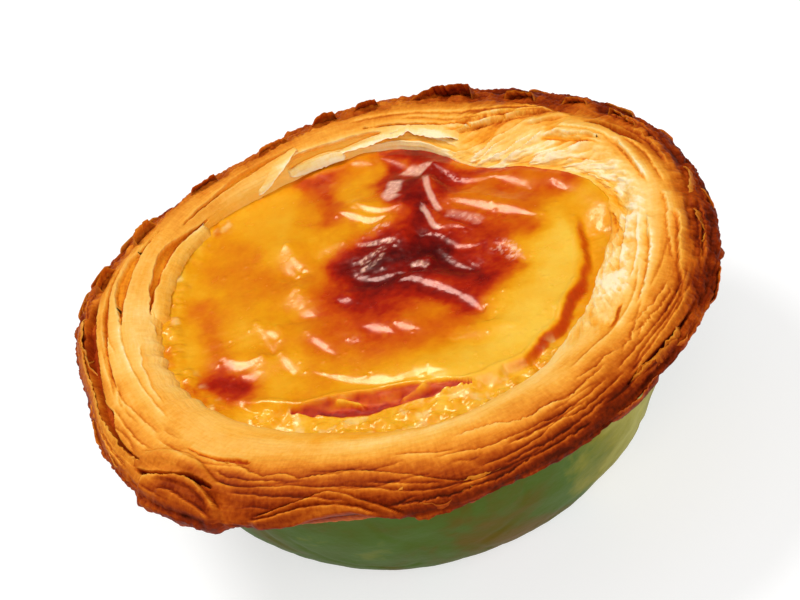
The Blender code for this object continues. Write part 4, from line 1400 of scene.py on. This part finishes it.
def custard(material):
    x, y, out, degrees = custard_cells()
    dome = MOUTH_HEIGHT - 0.5 + CUSTARD_DOME * (1 - out**2)
    dome = dome + bulge(degrees, BANKS) * smooth(0.80, 1.0, out) ** 2
    past_skin, along = near_curve(x, y, SKIN_EDGE)
    past_skin = past_skin + 0.25 * rough(x / 1.6, y / 1.6, 0.0, 411)
    kept = smooth(0.0, 0.05, along) * smooth(1.0, 0.94, along)
    moat = smooth(-0.25, 0.75, past_skin) * kept
    hem = np.exp(-(((past_skin + 0.55) / 0.45) ** 2)) * kept
    fold_line = np.exp(-(((past_skin - 0.15) / 0.35) ** 2)) * kept
    drop = np.exp(-(((past_skin - 0.25 - 0.2 * rough(x / 1.8, y / 1.8, 4.0, 413)) / 0.55) ** 2)) * kept
    split_distance, split_along = near_curve(x, y, SPLIT)
    steps = np.linspace(0, 1, len(SPLIT_WIDTHS))
    half = through(split_along, steps, SPLIT_WIDTHS) + 0.12 * rough(x / 1.1, y / 1.1, 3.0, 441)
    split = smooth(1.15, 0.70, np.abs(split_distance) / np.maximum(half, 0.05))
    ridges = np.zeros_like(x)
    for points, rise, width in SPLIT_RIDGES:
        distance, share = near_curve(x, y, points)
        ridge = rise * np.exp(-((distance / width) ** 2)) * smooth(0.0, 0.2, share) * smooth(1.0, 0.8, share)
        ridges = np.maximum(ridges, ridge)
    folds, valleys = drawn_skin()
    burn = scorch_level(x, y)
    # Darker in the valleys beside the folds of the browned skin: painted shade.
    burn = burn + 0.35 * np.clip(sampled(valleys, x, y), -0.2, 0.2) * smooth(0.25, 0.60, burn) * smooth(1.05, 0.75, burn)
    burn = burn + 0.05 * rough(x / 0.8, y / 0.8, 2.0, 457) * smooth(0.35, 0.60, burn)
    border = smooth(0.88, 0.96, out) * smooth(-6, -16, x) * (1 - moat)
    height = dome + sampled(folds, x, y) - MOAT_DEPTH * moat + 0.22 * hem
    height = height - SPLIT_DEPTH * split * (1 - 0.6 * moat) + ridges * split
    height = height + 0.12 * rough(x / 6.0, y / 6.0, 1.0, 421) + 0.015 * rough(x / 1.2, y / 1.2, 2.0, 422)
    height = height + (moat + border) * 0.10 * rough(x / 1.0, y / 1.0, 6.0, 424)
    height = height + lumps(x, y, moat, border) + bubbles(x, y)
    crinkle = smooth(0.60, 0.85, burn)
    height = height + crinkle * 0.035 * rough(x / 0.55, y / 0.55, 5.0, 423)
    caramel = smooth(12.0, 14.5, x) * smooth(-8.0, -11.0, y)
    burn = mix(burn, 0.17 + 0.14 * rough(x / 1.4, y / 1.4, 0.0, 453), moat)
    burn = burn + 0.12 * rough(x / 0.9, y / 2.2, 0.0, 454) * border
    burn = mix(burn, 0.26, smooth(18, 21, x) * smooth(21.5, 23.0, np.hypot(x, y)) * smooth(7.5, 4.5, y))
    burn = mix(burn, np.maximum(burn, 0.62), 0.8 * fold_line * smooth(8, 14, x))
    burn = mix(burn, np.maximum(burn, 0.60), 0.9 * drop * caramel)
    # Inside the split the colour turns dark brown, darkest along its front side: painted shade in the crack, with the
    # ridges in it lighter.
    deep = 0.56 + 0.16 * smooth(0.5, -0.5, split_distance) + 0.14 * rough(x / 1.2, y / 0.8, 0.0, 451) - 0.50 * ridges
    burn = mix(burn, deep, split)
    rows = columns = CUSTARD_CELLS + 1
    top = np.stack([x, y, height], -1).reshape(-1, 3)
    index = np.arange(rows * columns).reshape(rows, columns)
    border_index = np.concatenate([index[0, :-1], index[:-1, -1], index[-1, :0:-1], index[:0:-1, 0]])
    skirt = []
    for shrink, level in ((0.98, 20.0), (0.93, 15.0)):
        ring = top[border_index].copy()
        ring[:, :2] *= shrink
        ring[:, 2] = level
        skirt.append(ring)
    points = np.concatenate([top, *skirt, [[0.0, 0.0, 15.0]]])
    count = len(border_index)
    rings = [border_index, len(top) + np.arange(count), len(top) + count + np.arange(count)]
    quads = [grid_faces(rows, columns)]
    for upper, lower in zip(rings, rings[1:]):
        quads.append(np.stack([upper, lower, np.roll(lower, -1), np.roll(upper, -1)], -1))
    fan = np.stack([rings[-1], np.full(count, len(points) - 1), np.roll(rings[-1], -1)], -1)
    # Painted highlights along the streaks, some broken into mottled glints.
    painted_highlight = np.zeros_like(x)
    specks = smooth(-0.1, 0.5, rough(x / 0.34, y / 0.34, 3.0, 459))
    frayed = 0.30 * rough(x / 0.9, y / 0.9, 1.0, 461)
    for streak, width, strength, mottled in PAINTED_HIGHLIGHT_STREAKS:
        distance, along = near_curve(x, y, streak)
        highlight_mark = strength * smooth(1.5, 0.5, np.abs(distance + frayed * min(width, 0.6)) / width)
        highlight_mark = highlight_mark * smooth(0.0, 0.15, along) * smooth(1.0, 0.85, along)
        painted_highlight = np.maximum(painted_highlight, highlight_mark * mix(1.0, 1.3 * specks, mottled))
    clots = smooth(0.25, 0.9, rough(x / 1.5, y / 1.5, 8.0, 455)) * (moat * smooth(20, 14, x) + border)
    facts = {
        "burn": burn,
        "pale": np.clip(0.7 * clots, 0, 1) * (1 - split),
        "painted_highlight": painted_highlight,
        "matte": split,
    }
    for name in facts:
        values = facts[name].ravel()
        facts[name] = np.concatenate([values, np.full(len(points) - len(values), 0.3)])
    return make_piece("custard_skin", points, np.concatenate(quads), fan, facts, material)


# ---------------------------------------------------------------- studio

VIEW_ELEVATION = 37.3
VIEW_ROLL = 18.5
VIEW_DISTANCE = 0.420
VIEW_TARGET = (0.0, 0.0, 22.3)
VIEW_SHIFT = (0.55, 0.105)
LENS = 161.2


def studio():
    """The floor, the lights and the camera at the photograph's angle."""
    bpy.ops.mesh.primitive_plane_add(size=3.0, location=(0.0, 0.0, FLOOR_Z))
    floor = bpy.context.active_object
    floor.name = "floor"
    floor.data.materials.append(floor_material())
    lights = (
        ("key", (-0.36, 0.38, 0.86), 0.38, 6.6),
        ("fill", (0.30, -0.95, 0.72), 1.1, 10.0),
    )
    for name, place, size, power in lights:
        lamp = bpy.data.lights.new(name, "AREA")
        lamp.size = size
        lamp.energy = power
        lamp.shape = "DISK"
        made = bpy.data.objects.new(name, lamp)
        made.location = place
        made.rotation_euler = (Vector((0.0, 0.0, 0.02)) - Vector(place)).to_track_quat("-Z", "Y").to_euler()
        bpy.context.scene.collection.objects.link(made)
    world = bpy.data.worlds.new("studio")
    world.use_nodes = True
    nodes, links = world.node_tree.nodes, world.node_tree.links
    place = nodes.new("ShaderNodeTexCoord")
    height = nodes.new("ShaderNodeSeparateXYZ")
    links.new(place.outputs["Generated"], height.inputs[0])
    glow = nodes.new("ShaderNodeMapRange")
    glow.inputs["From Min"].default_value = 0.80
    glow.inputs["From Max"].default_value = 0.96
    glow.inputs["To Min"].default_value = 0.06
    glow.inputs["To Max"].default_value = 0.90
    links.new(height.outputs["Z"], glow.inputs["Value"])
    links.new(glow.outputs["Result"], nodes["Background"].inputs["Strength"])
    nodes["Background"].inputs["Color"].default_value = (1.0, 0.99, 0.97, 1.0)
    bpy.context.scene.world = world
    bpy.context.scene.view_settings.view_transform = "Standard"

    elevation, roll = math.radians(VIEW_ELEVATION), math.radians(VIEW_ROLL)
    back = Vector((0.0, -math.cos(elevation), math.sin(elevation)))
    right = Vector((1.0, 0.0, 0.0))
    up = back.cross(right)
    tilted_right = math.cos(roll) * right - math.sin(roll) * up
    tilted_up = math.sin(roll) * right + math.cos(roll) * up
    target = Vector(VIEW_TARGET) * UNIT
    place = target + back * VIEW_DISTANCE
    place += (tilted_right * VIEW_SHIFT[0] + tilted_up * VIEW_SHIFT[1]) * UNIT
    camera = bpy.data.objects.new("camera", bpy.data.cameras.new("camera"))
    camera.matrix_world = Matrix.Translation(place) @ Matrix((tilted_right, tilted_up, back)).transposed().to_4x4()
    camera.data.lens = LENS
    camera.data.sensor_width = 36.0
    camera.data.clip_start = 0.01
    bpy.context.scene.collection.objects.link(camera)
    bpy.context.scene.camera = camera


# ---------------------------------------------------------------- assembly


def main():
    pastry = pastry_material()
    pieces = [(piece, "pastry") for piece in rim_rings(pastry)]
    pieces.append((cup(cup_material()), "pastry"))
    loose, crust = Shell(LEAF_FACTS), Shell(LEAF_FACTS)
    back_leaves(loose)
    outer_leaves(loose)
    flakes(loose)
    crust_leaves(crust)
    pieces.append((loose.piece("loose_leaves", pastry, 50), "pastry"))
    pieces.append((crust.piece("crust_leaves", pastry, 50), "pastry"))
    pieces.append((custard(custard_material()), "custard"))
    for piece, slot in pieces:
        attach(piece, "root")
        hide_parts("custard" if slot == "custard" else "pastry_case")
    studio()


main()
